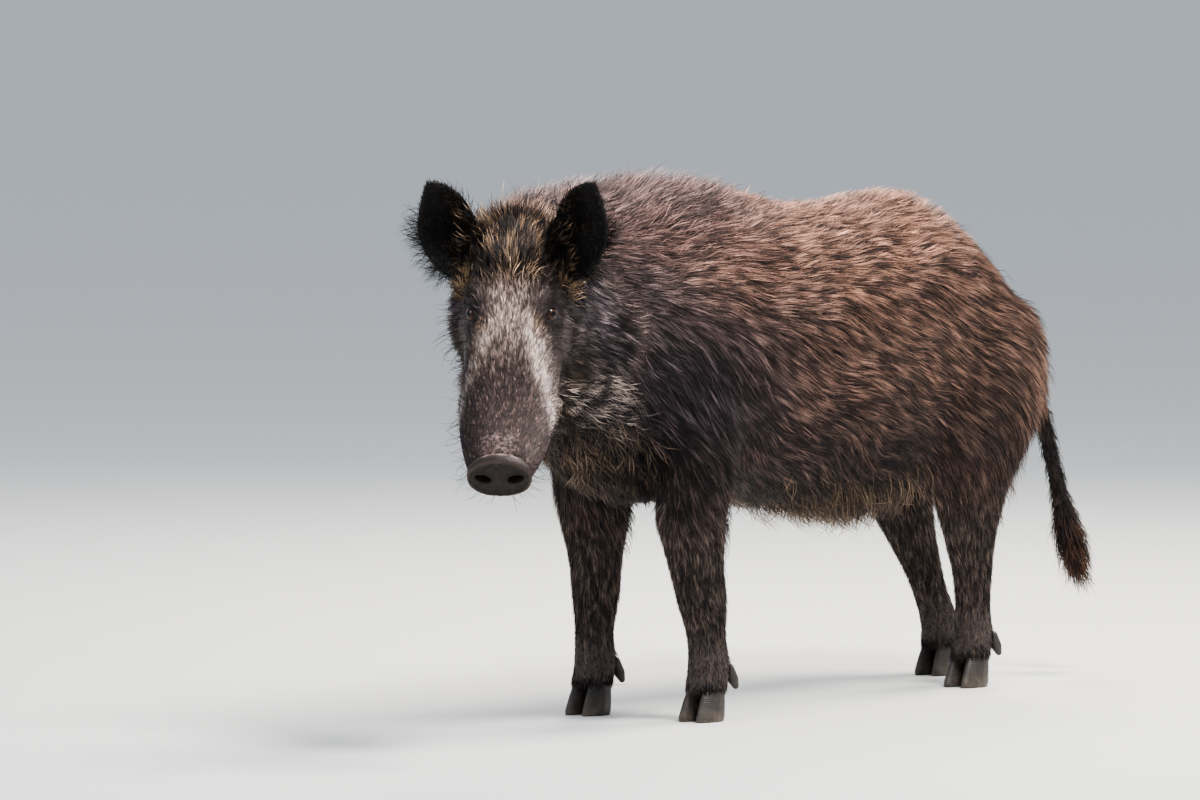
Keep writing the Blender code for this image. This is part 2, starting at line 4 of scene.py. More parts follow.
import math
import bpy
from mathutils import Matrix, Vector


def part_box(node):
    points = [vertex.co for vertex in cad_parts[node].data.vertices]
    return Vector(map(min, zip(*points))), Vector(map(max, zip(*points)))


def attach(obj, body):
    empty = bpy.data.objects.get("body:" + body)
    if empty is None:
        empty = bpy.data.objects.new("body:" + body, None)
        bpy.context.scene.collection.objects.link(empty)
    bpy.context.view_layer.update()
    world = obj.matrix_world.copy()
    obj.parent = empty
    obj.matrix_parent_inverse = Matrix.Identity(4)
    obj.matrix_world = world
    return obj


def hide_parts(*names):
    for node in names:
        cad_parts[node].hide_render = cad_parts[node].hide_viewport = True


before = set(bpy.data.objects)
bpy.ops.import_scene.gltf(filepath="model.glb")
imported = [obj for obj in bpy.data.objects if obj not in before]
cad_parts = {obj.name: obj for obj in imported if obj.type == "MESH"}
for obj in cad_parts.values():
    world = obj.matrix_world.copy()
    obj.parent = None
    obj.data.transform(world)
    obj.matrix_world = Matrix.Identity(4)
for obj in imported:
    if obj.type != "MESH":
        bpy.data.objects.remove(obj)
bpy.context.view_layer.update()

from types import SimpleNamespace as Bag

import bmesh
import bpy
import numpy as np
from mathutils import Vector
from mathutils.bvhtree import BVHTree
from mathutils.kdtree import KDTree

UPRIGHT = Vector((0, 0, 1))

# ---- frames
HEAD_PITCH = math.radians(36)  # nose down
EYE_UP = 0.065  # eyes above the centre line of the muzzle
SNOUT_AHEAD = 0.272  # eyes to the back of the snout disc
SNOUT_TILT = math.radians(6)  # disc's axis below the muzzle's
HEAD_AT = np.array((0.09, -0.45, 0.612))  # midpoint between the eyes in the animal's own frame
SIDES = {1: "left", -1: "right"}

EYES = {side: sum(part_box("eye_" + word), Vector()) / 2 for side, word in SIDES.items()}
BETWEEN_EYES = (EYES[1] + EYES[-1]) / 2
LEFT = (EYES[1] - EYES[-1]).normalized()
LEVEL = LEFT.cross(UPRIGHT)
AHEAD = LEVEL * math.cos(HEAD_PITCH) - UPRIGHT * math.sin(HEAD_PITCH)
UP = LEVEL * math.sin(HEAD_PITCH) + UPRIGHT * math.cos(HEAD_PITCH)
MUZZLE = np.array(BETWEEN_EYES - UP * EYE_UP)
DISC_AXIS = np.array(AHEAD * math.cos(SNOUT_TILT) - UP * math.sin(SNOUT_TILT))
DISC_UP = np.array(UP * math.cos(SNOUT_TILT) + AHEAD * math.sin(SNOUT_TILT))
LEFT, AHEAD, UP = HEAD = np.array((LEFT, AHEAD, UP))
DISC_AT = MUZZLE + SNOUT_AHEAD * AHEAD
ANIMAL = np.array(BETWEEN_EYES) - HEAD_AT


def to_head(points):
    """Points as outward to the animal's left, ahead along the muzzle, and up from its centre line."""
    return (points - MUZZLE) @ HEAD.T


# ---- numbers on arrays
def clamp(x):
    return np.clip(x, 0, 1)


def rise(x, low, high):
    """0 below low, 1 above high, smooth between."""
    t = clamp((x - low) / (high - low))
    return t * t * (3 - 2 * t)


def fall(x, low, high):
    return 1 - rise(x, low, high)


def span(x, start, full, ending, end):
    """1 from full to ending, and 0 before start and past end."""
    return rise(x, start, full) * fall(x, ending, end)


def hill(x, middle, width):
    return np.exp(-(((x - middle) / width) ** 2))


def mix(a, b, share):
    """From a to b by a share. A tuple is a colour."""
    a, b = (np.array([x]) if isinstance(x, tuple) else np.asarray(x, float) for x in (a, b))
    share = np.asarray(share, float)
    if max(a.ndim, b.ndim) > share.ndim:
        share = share[..., None]
    return a * (1 - share) + b * share


def painted(under, *layers):
    """A colour or other value under layers, each a value and its share."""
    for over, share in layers:
        under = mix(under, over, share)
    return under


def columns(*values):
    """Rows of three from arrays or single numbers."""
    return np.stack(np.broadcast_arrays(*values), 1)


def unit(v):
    return v / np.maximum(np.linalg.norm(v, axis=-1, keepdims=True), 1e-12)


def dots(a, b):
    return np.einsum("ij,ij->i", a, b)[:, None]


def waves(p, length, seed, count=8):
    """Smooth noise of about this wavelength, from -1 to 1."""
    rng = np.random.default_rng(seed)
    turn = unit(rng.normal(size=(count, 3))) * 2 * np.pi / (length * rng.uniform(0.7, 1.5, (count, 1)))
    return np.clip(np.sin(p @ turn.T + rng.uniform(0, 6.28, count)).sum(1) * (1.3 / count**0.5), -1, 1)


def turns(count):
    return np.arange(count) * 2 * np.pi / count


# ---- mesh tools
def taken(source, name, count, kind=np.float32):
    values = np.empty(count, kind)
    source.foreach_get(name, values)
    return values


def read(data):
    """Vertices, vertex normals and triangles of a mesh, as arrays."""
    co = taken(data.vertices, "co", len(data.vertices) * 3)
    normals = taken(data.vertex_normals, "vector", len(data.vertices) * 3)
    data.calc_loop_triangles()
    faces = taken(data.loop_triangles, "vertices", len(data.loop_triangles) * 3, np.int32)
    return co.reshape(-1, 3).astype(float), normals.reshape(-1, 3).astype(float), faces.reshape(-1, 3)


def flat32(values):
    return values.astype(np.float32).ravel()


def moved(data, co):
    """Sets a mesh's vertices and gives its new vertex normals."""
    data.vertices.foreach_set("co", flat32(co))
    data.update()
    return read(data)[1]


def mesh_of(name, co, faces):
    """A mesh from arrays of vertices and of triangles or quads."""
    data = bpy.data.meshes.new(name)
    data.vertices.add(len(co))
    data.vertices.foreach_set("co", flat32(co))
    data.loops.add(faces.size)
    data.loops.foreach_set("vertex_index", faces.astype(np.int32).ravel())
    data.polygons.add(len(faces))
    data.polygons.foreach_set("loop_start", np.arange(0, faces.size, faces.shape[1], dtype=np.int32))
    data.update(calc_edges=True)
    data.shade_smooth()
    return data


def ring_quads(co, rows, count, centre):
    """Quads over closed rows of points, all turned to face away from a centre."""
    i, j = np.meshgrid(np.arange(rows - 1) * count, np.arange(count), indexing="ij")
    after = (j + 1) % count
    quads = np.stack([i + j, i + after, i + count + after, i + count + j], -1).reshape(-1, 4)
    a, b, d = co[quads[:, 0]], co[quads[:, 1]], co[quads[:, 3]]
    return quads if dots(np.cross(b - a, d - a), a - centre).sum() > 0 else quads[:, ::-1]


def object_of(name, data):
    obj = bpy.data.objects.new(name, data)
    bpy.context.scene.collection.objects.link(obj)
    return obj


def baked(obj):
    """Replaces an object's mesh with what its modifiers make of it."""
    graph = bpy.context.evaluated_depsgraph_get()
    made = bpy.data.meshes.new_from_object(obj.evaluated_get(graph))
    obj.modifiers.clear()
    obj.data = made
    return obj


def remeshed(obj, grain):
    remesh = obj.modifiers.new("grid", "REMESH")
    remesh.mode = "VOXEL"
    remesh.voxel_size = grain
    return baked(obj)


def relaxed(co, data, share, rounds):
    """Moves each vertex towards the mean of its neighbours by its own share, a number of times."""
    one, two = taken(data.edges, "vertices", len(data.edges) * 2, np.int32).reshape(-1, 2).T
    degree = np.maximum(np.bincount(one, minlength=len(co)) + np.bincount(two, minlength=len(co)), 1)
    for _ in range(rounds):
        mean = np.empty_like(co)
        for axis in range(3):
            c = co[:, axis]
            total = np.bincount(one, c[two], len(co)) + np.bincount(two, c[one], len(co))
            mean[:, axis] = total / degree
        co = co + (mean - co) * share[:, None]
    return co


def attribute(data, name, values, kind="FLOAT", key="value"):
    data.attributes.new(name, kind, "POINT").data.foreach_set(key, flat32(values))


def tinted(data, tint):
    attribute(data, "tint", np.insert(tint, 3, 1, axis=1), "FLOAT_COLOR", "color")


def tree_of(co, faces):
    return BVHTree.FromPolygons(co.tolist(), faces.tolist())


# ---- where things are on the animal
EAR_ROOT = np.array((0.069, -0.095, 0.099))
EAR_TIP = np.array((0.117, -0.1, 0.224))
EAR_TREES = [tree_of(*read(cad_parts["ear_" + word].data)[::2]) for word in SIDES.values()]


def near_ear(points):
    """Distance to the nearer ear, or 1 where a point is far from both."""
    found = np.ones(len(points))
    h = to_head(points)
    close = (np.abs(h[:, 0]) > 0.03) & (h[:, 1] < 0.02) & (h[:, 1] > -0.2) & (h[:, 2] > 0.02)
    for i in np.flatnonzero(close):
        found[i] = min(tree.find_nearest(points[i])[3] for tree in EAR_TREES)
    return found


def zones(points):
    """How far each point belongs to each part of the animal, from 0 to 1."""
    x, y, z = (points - ANIMAL).T
    out, ahead, up = to_head(points).T
    side = np.abs(out)
    reach = np.sqrt(side**2 + np.minimum(0, up) ** 2)
    s = Bag(x=x, y=y, z=z, out=out, side=side, ahead=ahead, up=up)
    s.head = rise(ahead, -0.175, -0.115) * fall(reach, 0.165, 0.2) * rise(up, -0.2, -0.16)
    s.gap = near_ear(points)
    s.ear = fall(s.gap, 0.0035, 0.008)
    s.tail = rise(y, 0.866, 0.878) * fall(z, 0.555, 0.6)
    between = span(y, 0.09, 0.15, 0.5, 0.56)
    s.leg = fall(z, 0.24, 0.4) * (1 - between) * (1 - s.tail) * fall(s.head, 0.05, 0.3) * rise(y, -0.17, -0.13)
    s.foot = fall(z, 0.05, 0.1) * (1 - s.tail)
    s.body = (1 - s.head) * (1 - s.leg) * (1 - s.tail) * (1 - s.ear)
    s.mane = rise(z, 0.62, 0.76) * fall(y, 0.02, 0.24) * (1 - s.head) * (1 - s.ear)
    s.crest = rise(z, 0.64, 0.73) * fall(np.abs(x), 0.03, 0.12)
    s.belly = between * fall(z, 0.28, 0.36)
    s.groin = span(y, 0.2, 0.36, 0.52, 0.58) * fall(z, 0.29, 0.37)
    s.rump = rise(y, 0.68, 0.84) * (1 - s.tail) * rise(z, 0.3, 0.4)
    s.eye = np.maximum(*(hill(np.linalg.norm(points - np.array(c), axis=1), 0, 0.024) for c in EYES.values()))
    s.crown = rise(up, 0.075, 0.12) * fall(ahead, -0.055, 0) * s.head
    s.cheek = s.head * rise(side, 0.035, 0.065) * fall(ahead, 0.03, 0.09)
    s.jaw = s.head * fall(up, -0.055, -0.02) * fall(ahead, 0.1, 0.17)
    s.ruff = rise(side, 0.05, 0.08) * span(z, 0.43, 0.46, 0.49, 0.525) * span(ahead, -0.105, -0.05, 0.03, 0.09)
    s.bib = span(ahead, -0.125, -0.07, 0, 0.05) * span(z, 0.3, 0.35, 0.44, 0.475) * fall(y, -0.15, -0.1)
    s.nape = s.head * rise(side, 0.045, 0.075) * fall(ahead, -0.07, -0.01) * fall(up, 0.055, 0.095)
    disc = points - DISC_AT
    s.disc_across, s.disc_up = disc @ LEFT, disc @ DISC_UP
    s.disc = ((disc @ DISC_AXIS > 0.0012) & (s.head > 0.5)).astype(float)
    s.top = s.head * (1 - s.disc) * rise(ahead, 0.228, 0.244) * fall(side, 0.018, 0.034) * rise(up, 0.004, 0.018)
    return s


def at_faces(s, corners, weights):
    """The zones at points given by one or three vertices each, and their weights."""
    return Bag(**{key: (value[corners] * weights).sum(1) for key, value in vars(s).items()})


def coat_depth(s):
    """How far the skin lies inside the solids."""
    face = 0.0032 + 0.0095 * s.crown + 0.0045 * s.cheek * fall(s.ahead, -0.09, 0) + 0.006 * s.jaw
    face = painted(face, (0.0018, rise(s.ahead, 0.13, 0.24)), (0.0022, s.eye))
    leg = mix(0.0045, 0.0016, fall(s.z, 0.09, 0.15))
    body = 0.012 + 0.014 * s.mane + 0.003 * s.crest * s.body + 0.002 * s.rump
    hoof_top = fall(s.z, 0.05, 0.075)
    return painted(body, (leg, s.leg), (face, s.head), (0.0024, s.tail), (0.0016, s.ear), (0.0006, hoof_top))


# ---- the skin
FLESH = ["trunk", "neck", "head", "lower_jaw", "snout_disc", "ear_left", "ear_right", "tail"]
FLESH += ["foreleg_left", "foreleg_right", "hindleg_left", "hindleg_right"]
WELD = 0.0004  # flesh nodes grow by this, so that the gaps between them close
GRAIN = 0.0031  # grid of the skin
BODY_TRIANGLES = 62_000
SMOOTHING = 70  # rounds over the grid before it shrinks
SHRINK_STEPS = 3


def fused_flesh():
    bm = bmesh.new()
    for name in [*FLESH, "eye_left", "eye_right"]:
        if name == "snout_disc":  # which is built finer below
            continue
        part = bmesh.new()
        part.from_mesh(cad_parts[name].data)
        bmesh.ops.remove_doubles(part, verts=part.verts, dist=1e-6)
        part.normal_update()
        for vert in part.verts:
            vert.co += vert.normal * WELD
        data = bpy.data.meshes.new("part")
        part.to_mesh(data)
        part.free()
        bm.from_mesh(data)
        bpy.data.meshes.remove(data)
    data = bpy.data.meshes.new("skin")
    bm.to_mesh(data)
    bm.free()
    return remeshed(object_of("skin", data), GRAIN)


def sculpted_head(co, normals, s):
    """The forms of the face that the solids leave out."""
    side, ahead, up = s.side, s.ahead, s.up
    sides = rise(side, 0.03, 0.05)
    # The upper lip hangs over the lower one, from the corner of the mouth to under the snout disc.
    below = -0.026 - 0.01 * rise(ahead, 0.16, 0.26) - up
    inward = 0.005 * span(below, -0.001, 0.004, 0.006, 0.03) * span(ahead, 0.082, 0.1, 0.255, 0.275)
    # A hollow runs down the side of the muzzle, under the ridge from the eye.
    inward += 0.004 * hill(ahead, 0.085, 0.045) * hill(up, 0.026, 0.022) * sides
    # A groove runs from the eye's inner corner.
    inward += 0.0022 * hill(ahead, 0.03, 0.014) * hill(up, 0.058 - 0.45 * (ahead - 0.015), 0.006) * sides
    # The cheek is full.
    inward -= 0.003 * hill(ahead, -0.045, 0.03) * hill(up, 0.012, 0.03) * sides
    # Wrinkles cross the top of the snout behind the disc.
    folds = np.sin((ahead + 0.004 * waves(co, 0.03, 5)) * 2 * np.pi / 0.0095) * (0.6 + 0.4 * waves(co, 0.02, 6))
    inward += 0.0007 * folds * rise(ahead, 0.235, 0.255) * rise(up, 0.005, 0.03) * fall(side, 0.02, 0.04)
    # The eye lies in a socket, and the brow stands over it.
    inward += 0.0046 * hill(ahead, 0.024, 0.015) * hill(up, 0.052, 0.017) * sides
    inward -= 0.0022 * hill(ahead, -0.01, 0.016) * hill(up, 0.086, 0.009) * rise(side, 0.025, 0.04)
    return co - normals * (s.head * (1 - s.ear) * inward)[:, None]


def carved_ear(co, normals, s):
    """Deepens the hollow of each ear towards its root, where it turns into a tube."""
    h = columns(s.side, s.ahead, s.up) - EAR_ROOT
    axis = EAR_TIP - EAR_ROOT
    t = h @ axis / (axis @ axis)
    middle = np.linalg.norm(h - t[:, None] * axis, axis=1)
    front = rise(normals @ AHEAD, 0.1, 0.5) * s.ear
    return co - AHEAD * (0.01 * hill(t, 0.22, 0.22) * hill(middle, 0, 0.022) * front)[:, None]


def skin_base():
    """The skin inside the solids, finer on the head than on the body."""
    skin = fused_flesh()
    co, _, faces = read(skin.data)
    s = zones(co)
    fine = np.maximum.reduce([s.ear, s.tail, s.foot])
    share = 0.62 * s.body * (1 - s.head) + 0.1 * s.head + 0.3 * s.leg * rise(s.z, 0.08, 0.2)
    co = relaxed(co, skin.data, np.clip(share * (1 - fine) + 0.02 * fine, 0, 0.62), SMOOTHING)
    for _ in range(SHRINK_STEPS):
        normals = moved(skin.data, co)
        co = relaxed(co - normals * coat_depth(s)[:, None] / SHRINK_STEPS, skin.data, 0.25 * (1 - fine), 2)
    s = zones(co)
    normals = moved(skin.data, co)
    moved(skin.data, carved_ear(sculpted_head(co, normals, s), normals, s))
    coarse = s.head < 0.02
    within = int(coarse[faces].all(1).sum())
    skin.vertex_groups.new(name="coarse").add(np.flatnonzero(coarse).tolist(), 1.0, "REPLACE")
    thin = skin.modifiers.new("thin", "DECIMATE")
    thin.ratio = (len(faces) - within + BODY_TRIANGLES) / len(faces)
    thin.vertex_group = "coarse"
    baked(skin)
    skin.vertex_groups.clear()
    return skin


# ---- eyes and lids
EYE_RADIUS = 0.0134
EYE_SUNK = 0.0016  # the eyes sit this much deeper than the plain solids
LID_POINTS = 56
LID_WIDE = math.radians(68)  # the lids' outer edge, from the face's normal
LID_SHARES = np.array((0, 0.02, 0.07, 0.13, 0.2, 0.28, 0.36, 0.44, 0.54, 0.66, 0.8, 0.92, 1.0))
LID_THICK = (-0.0004, 0.0007, 0.0013, 0.0015)  # over the eyeball, from the wet edge outwards
LID_BACK = 0.0016  # the outer edge goes this far under the skin
EYE_OPEN = (0.0117, 0.0082, 0.0073)  # half the slit between the lids, then up and down from it


def eye_frame(side):
    """Centre, gaze, along the slit to the front corner, and up across it, with the face's own normal there."""
    gaze = unit(np.array((side * 0.64, 0.6, 0.46)) @ HEAD)
    along = unit(np.array((-side * 0.6, 0.7, -0.4)) @ HEAD)
    along = unit(along - gaze * (along @ gaze))
    up = np.cross(along, gaze) * side
    up = up if up @ UP > 0 else -up
    face = unit(np.array((side * 0.76, 0.34, 0.54)) @ HEAD)
    centre = np.array(EYES[side]) - side * EYE_SUNK * LEFT
    return Bag(centre=centre, gaze=gaze, along=along, up=up, face=face)


def lid_ring(side, tree):
    """Both lids of an eye as one ring from their wet edge out to the face: vertices, quads, and share outwards."""
    e = eye_frame(side)
    sine, cosine = np.sin(turns(LID_POINTS)), np.cos(turns(LID_POINTS))
    upper, lower = np.maximum(sine, 0), np.maximum(-sine, 0)
    u = EYE_OPEN[0] * cosine
    v = np.where(sine > 0, EYE_OPEN[1], EYE_OPEN[2]) * np.sign(sine) * np.abs(sine) ** 1.15
    flat = np.sqrt(np.maximum(EYE_RADIUS**2 - u**2 - v**2, 0))
    inner = unit(e.gaze * flat[:, None] + e.along * u[:, None] + e.up * v[:, None])
    across = unit(e.along - e.face * (e.along @ e.face))
    rising = np.cross(e.face, across)
    rising = rising if rising @ e.up > 0 else -rising
    edge = math.sin(LID_WIDE) * (cosine[:, None] * across + sine[:, None] * rising)
    outer = unit(edge + math.cos(LID_WIDE) * e.face)
    rows = []
    for k, share in enumerate(LID_SHARES):
        ways = unit(mix(inner, outer, share))
        reach = EYE_RADIUS + LID_THICK[min(k, 3)] + 0.0009 * upper * min(k, 1)
        if share > 0.1:
            skin_at = np.array([tree.ray_cast(e.centre, way)[3] or 0.02 for way in ways])
            fold = upper * (0.0007 * hill(share, 0.2, 0.06) - 0.0009 * hill(share, 0.32, 0.07))
            fold += upper * 0.0012 * hill(share, 0.5, 0.12) - lower * 0.0006 * hill(share, 0.33, 0.09)
            reach = mix(reach, np.minimum(skin_at, 0.034), rise(share, 0.1, 0.95)) + fold
            reach += 0.0002 if share < 1 else -LID_BACK
        rows.append(e.centre + ways * reach[:, None])
    co = np.concatenate(rows)
    return co, ring_quads(co, len(rows), LID_POINTS, e.centre), np.repeat(LID_SHARES, LID_POINTS)


def sunk_under_lids(co):
    """Pushes the skin under the lids behind the eyeballs. Also says which vertices that moved."""
    bare = np.zeros(len(co))
    for side in SIDES:
        e = eye_frame(side)
        offset = co - e.centre
        reach = np.linalg.norm(offset, axis=1)
        angle = np.arccos(np.clip(unit(offset) @ e.face, -1, 1))
        under = fall(angle, math.radians(51), math.radians(62)) * (reach < 0.03)
        target = np.minimum(reach, EYE_RADIUS - 0.003)
        co = e.centre + unit(offset) * mix(reach, target, under)[:, None]
        bare = np.maximum(bare, (under > 0.02).astype(float))
    return co, bare


def eyeball(side, word, material):
    """A glossy ball with a slight bulge before its iris. The pupil is oval."""
    e = eye_frame(side)
    rings, count = 30, 40
    rows, from_axis = [], []
    cosine, sine = np.cos(turns(count)), np.sin(turns(count))
    cross = e.along * cosine[:, None] + e.up * sine[:, None]
    for k in range(rings + 1):
        angle = math.pi * (k / rings) ** 1.25
        radius = EYE_RADIUS + 0.0007 * math.exp(-((angle / 0.55) ** 2))
        rows.append(e.centre + radius * (e.gaze * math.cos(angle) + cross * math.sin(angle)))
        from_axis.append(angle * np.sqrt((cosine / 1.15) ** 2 + sine**2))
    co = np.concatenate(rows)
    data = mesh_of("eyeball", co, ring_quads(co, len(rows), count, e.centre))
    attribute(data, "from_axis", np.concatenate(from_axis))
    bm = bmesh.new()
    bm.from_mesh(data)
    bmesh.ops.remove_doubles(bm, verts=bm.verts, dist=1e-6)
    bm.to_mesh(data)
    bm.free()
    data.shade_smooth()
    data.materials.append(material)
    obj = object_of(f"eyeball_{word}", data)
    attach(obj, "root")
    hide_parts(f"eye_{word}")


# ---- snout disc
DISC_HALF = (0.046, 0.0355)
DISC_THICK = 0.013
DISC_POINTS = 112
NOSTRIL = (0.023, 0.0004, 0.0118, 0.0076)  # across, up, half width, half height
# Depth along the disc's axis and share of its half size, from behind the rim to its front edge.
DISC_BACK = [(-0.006, 0.9), (-0.002, 0.945), (0.0025, 0.985), (0.006, 1.0), (0.009, 0.998), (0.0113, 0.985)]
# Shares of its half size over its front.
DISC_SHARES = (*np.linspace(0.965, 0.8, 9), *np.linspace(0.775, 0, 32))


def snout_disc():
    """The nose's gristly plate with its rim and nostrils: vertices, quads, and how deep in a nostril."""
    turn = turns(DISC_POINTS)
    c, sn = (np.sign(wave) * np.abs(wave) ** (2 / 2.25) for wave in (np.cos(turn), np.sin(turn)))
    peak = 1 + 0.1 * np.maximum(0, sn) * (1 - np.abs(c))
    rows, inside = [], []
    for depth, share in [*DISC_BACK, *((None, share) for share in DISC_SHARES)]:
        across, up = DISC_HALF[0] * share * c, DISC_HALF[1] * share * sn * peak
        pit = 0 * turn
        if depth is None:
            rim = 0.0018 * rise(share, 0.74, 0.9) - 0.0014 * rise(share, 0.93, 1)
            q = 9.0
            for side in SIDES:
                dx = across - side * NOSTRIL[0]
                dz = up - NOSTRIL[1] - 0.22 * side * dx
                q = np.minimum(q, np.sqrt((dx / NOSTRIL[2]) ** 2 + (dz / NOSTRIL[3]) ** 2))
            pit = fall(q, 0.62, 1.06)
            lip = 0.001 * hill(q, 1.32, 0.26)
            groove = 0.0007 * hill(across, 0, 0.0035) * fall(share, 0.6, 0.8)
            dome = 0.0012 * (1 - share**2)
            depth = DISC_THICK - 0.0022 + rim + lip + dome - groove - 0.017 * pit
        spot = columns(across, up, 0)
        grain = 0.00018 * waves(spot, 0.005, 31) + 0.0003 * waves(spot, 0.014, 32)
        place = columns(across, up, depth + grain * (share > 0.5))
        rows.append(DISC_AT + place @ np.array((LEFT, DISC_UP, DISC_AXIS)))
        inside.append(pit)
    co = np.concatenate(rows)
    return co, ring_quads(co, len(rows), DISC_POINTS, DISC_AT - 0.02 * DISC_AXIS), np.concatenate(inside)


# ---- colours
INK = (0.01, 0.008, 0.0098)
UMBER = (0.032, 0.021, 0.019)
DUN = (0.225, 0.175, 0.16)
RUST = (0.68, 0.4, 0.3)
GOLD = (1.0, 0.56, 0.4)
TAN = (0.36, 0.245, 0.155)
AMBER = (0.7, 0.48, 0.31)
TAWNY = (0.5, 0.3, 0.15)
ROSE = (0.7, 0.43, 0.4)
CREAM = (0.95, 0.84, 0.79)
HIDE = (0.03, 0.0195, 0.018)
PLUM = (0.088, 0.066, 0.078)
# SHOULDER's blue-grey tips are partly the coat's own grey and partly a painted sheen of the bluish sky light.
NECK, SHOULDER, NAPE, CHEEK = (0.32, 0.25, 0.275), (0.3, 0.245, 0.29), (0.33, 0.262, 0.288), (0.35, 0.276, 0.262)
FLANK, RUMP, BELLY, GROIN = (0.255, 0.17, 0.142), (0.88, 0.54, 0.39), (0.115, 0.083, 0.062), (0.38, 0.265, 0.165)
THIGH, SHANK, TAIL, TASSEL = (0.165, 0.13, 0.128), (0.3, 0.225, 0.19), (0.105, 0.078, 0.066), (0.26, 0.125, 0.07)
BRIDGE, SNOUT, JAW, BIB = (0.64, 0.5, 0.43), (0.165, 0.105, 0.095), (0.36, 0.25, 0.15), (0.34, 0.24, 0.175)
ROOT_PALE, ROOT_BRIDGE, ROOT_SNOUT = (0.42, 0.32, 0.29), (0.085, 0.06, 0.054), (0.017, 0.011, 0.0105)
EAR_ROOTS, EAR_BACK, EAR_FRONT = (0.0095, 0.0076, 0.008), (0.034, 0.026, 0.025), (0.085, 0.066, 0.062)


def along_lie(s):
    """Coordinates that run slowly along the hair and fast across it."""
    body = columns(s.x, 0.24 * (s.y - 0.3 * s.z), s.z + 0.3 * s.y)
    return painted(body, (columns(s.x, s.y, 0.24 * s.z), s.leg), (columns(s.out, 0.3 * s.ahead, s.up), s.head))


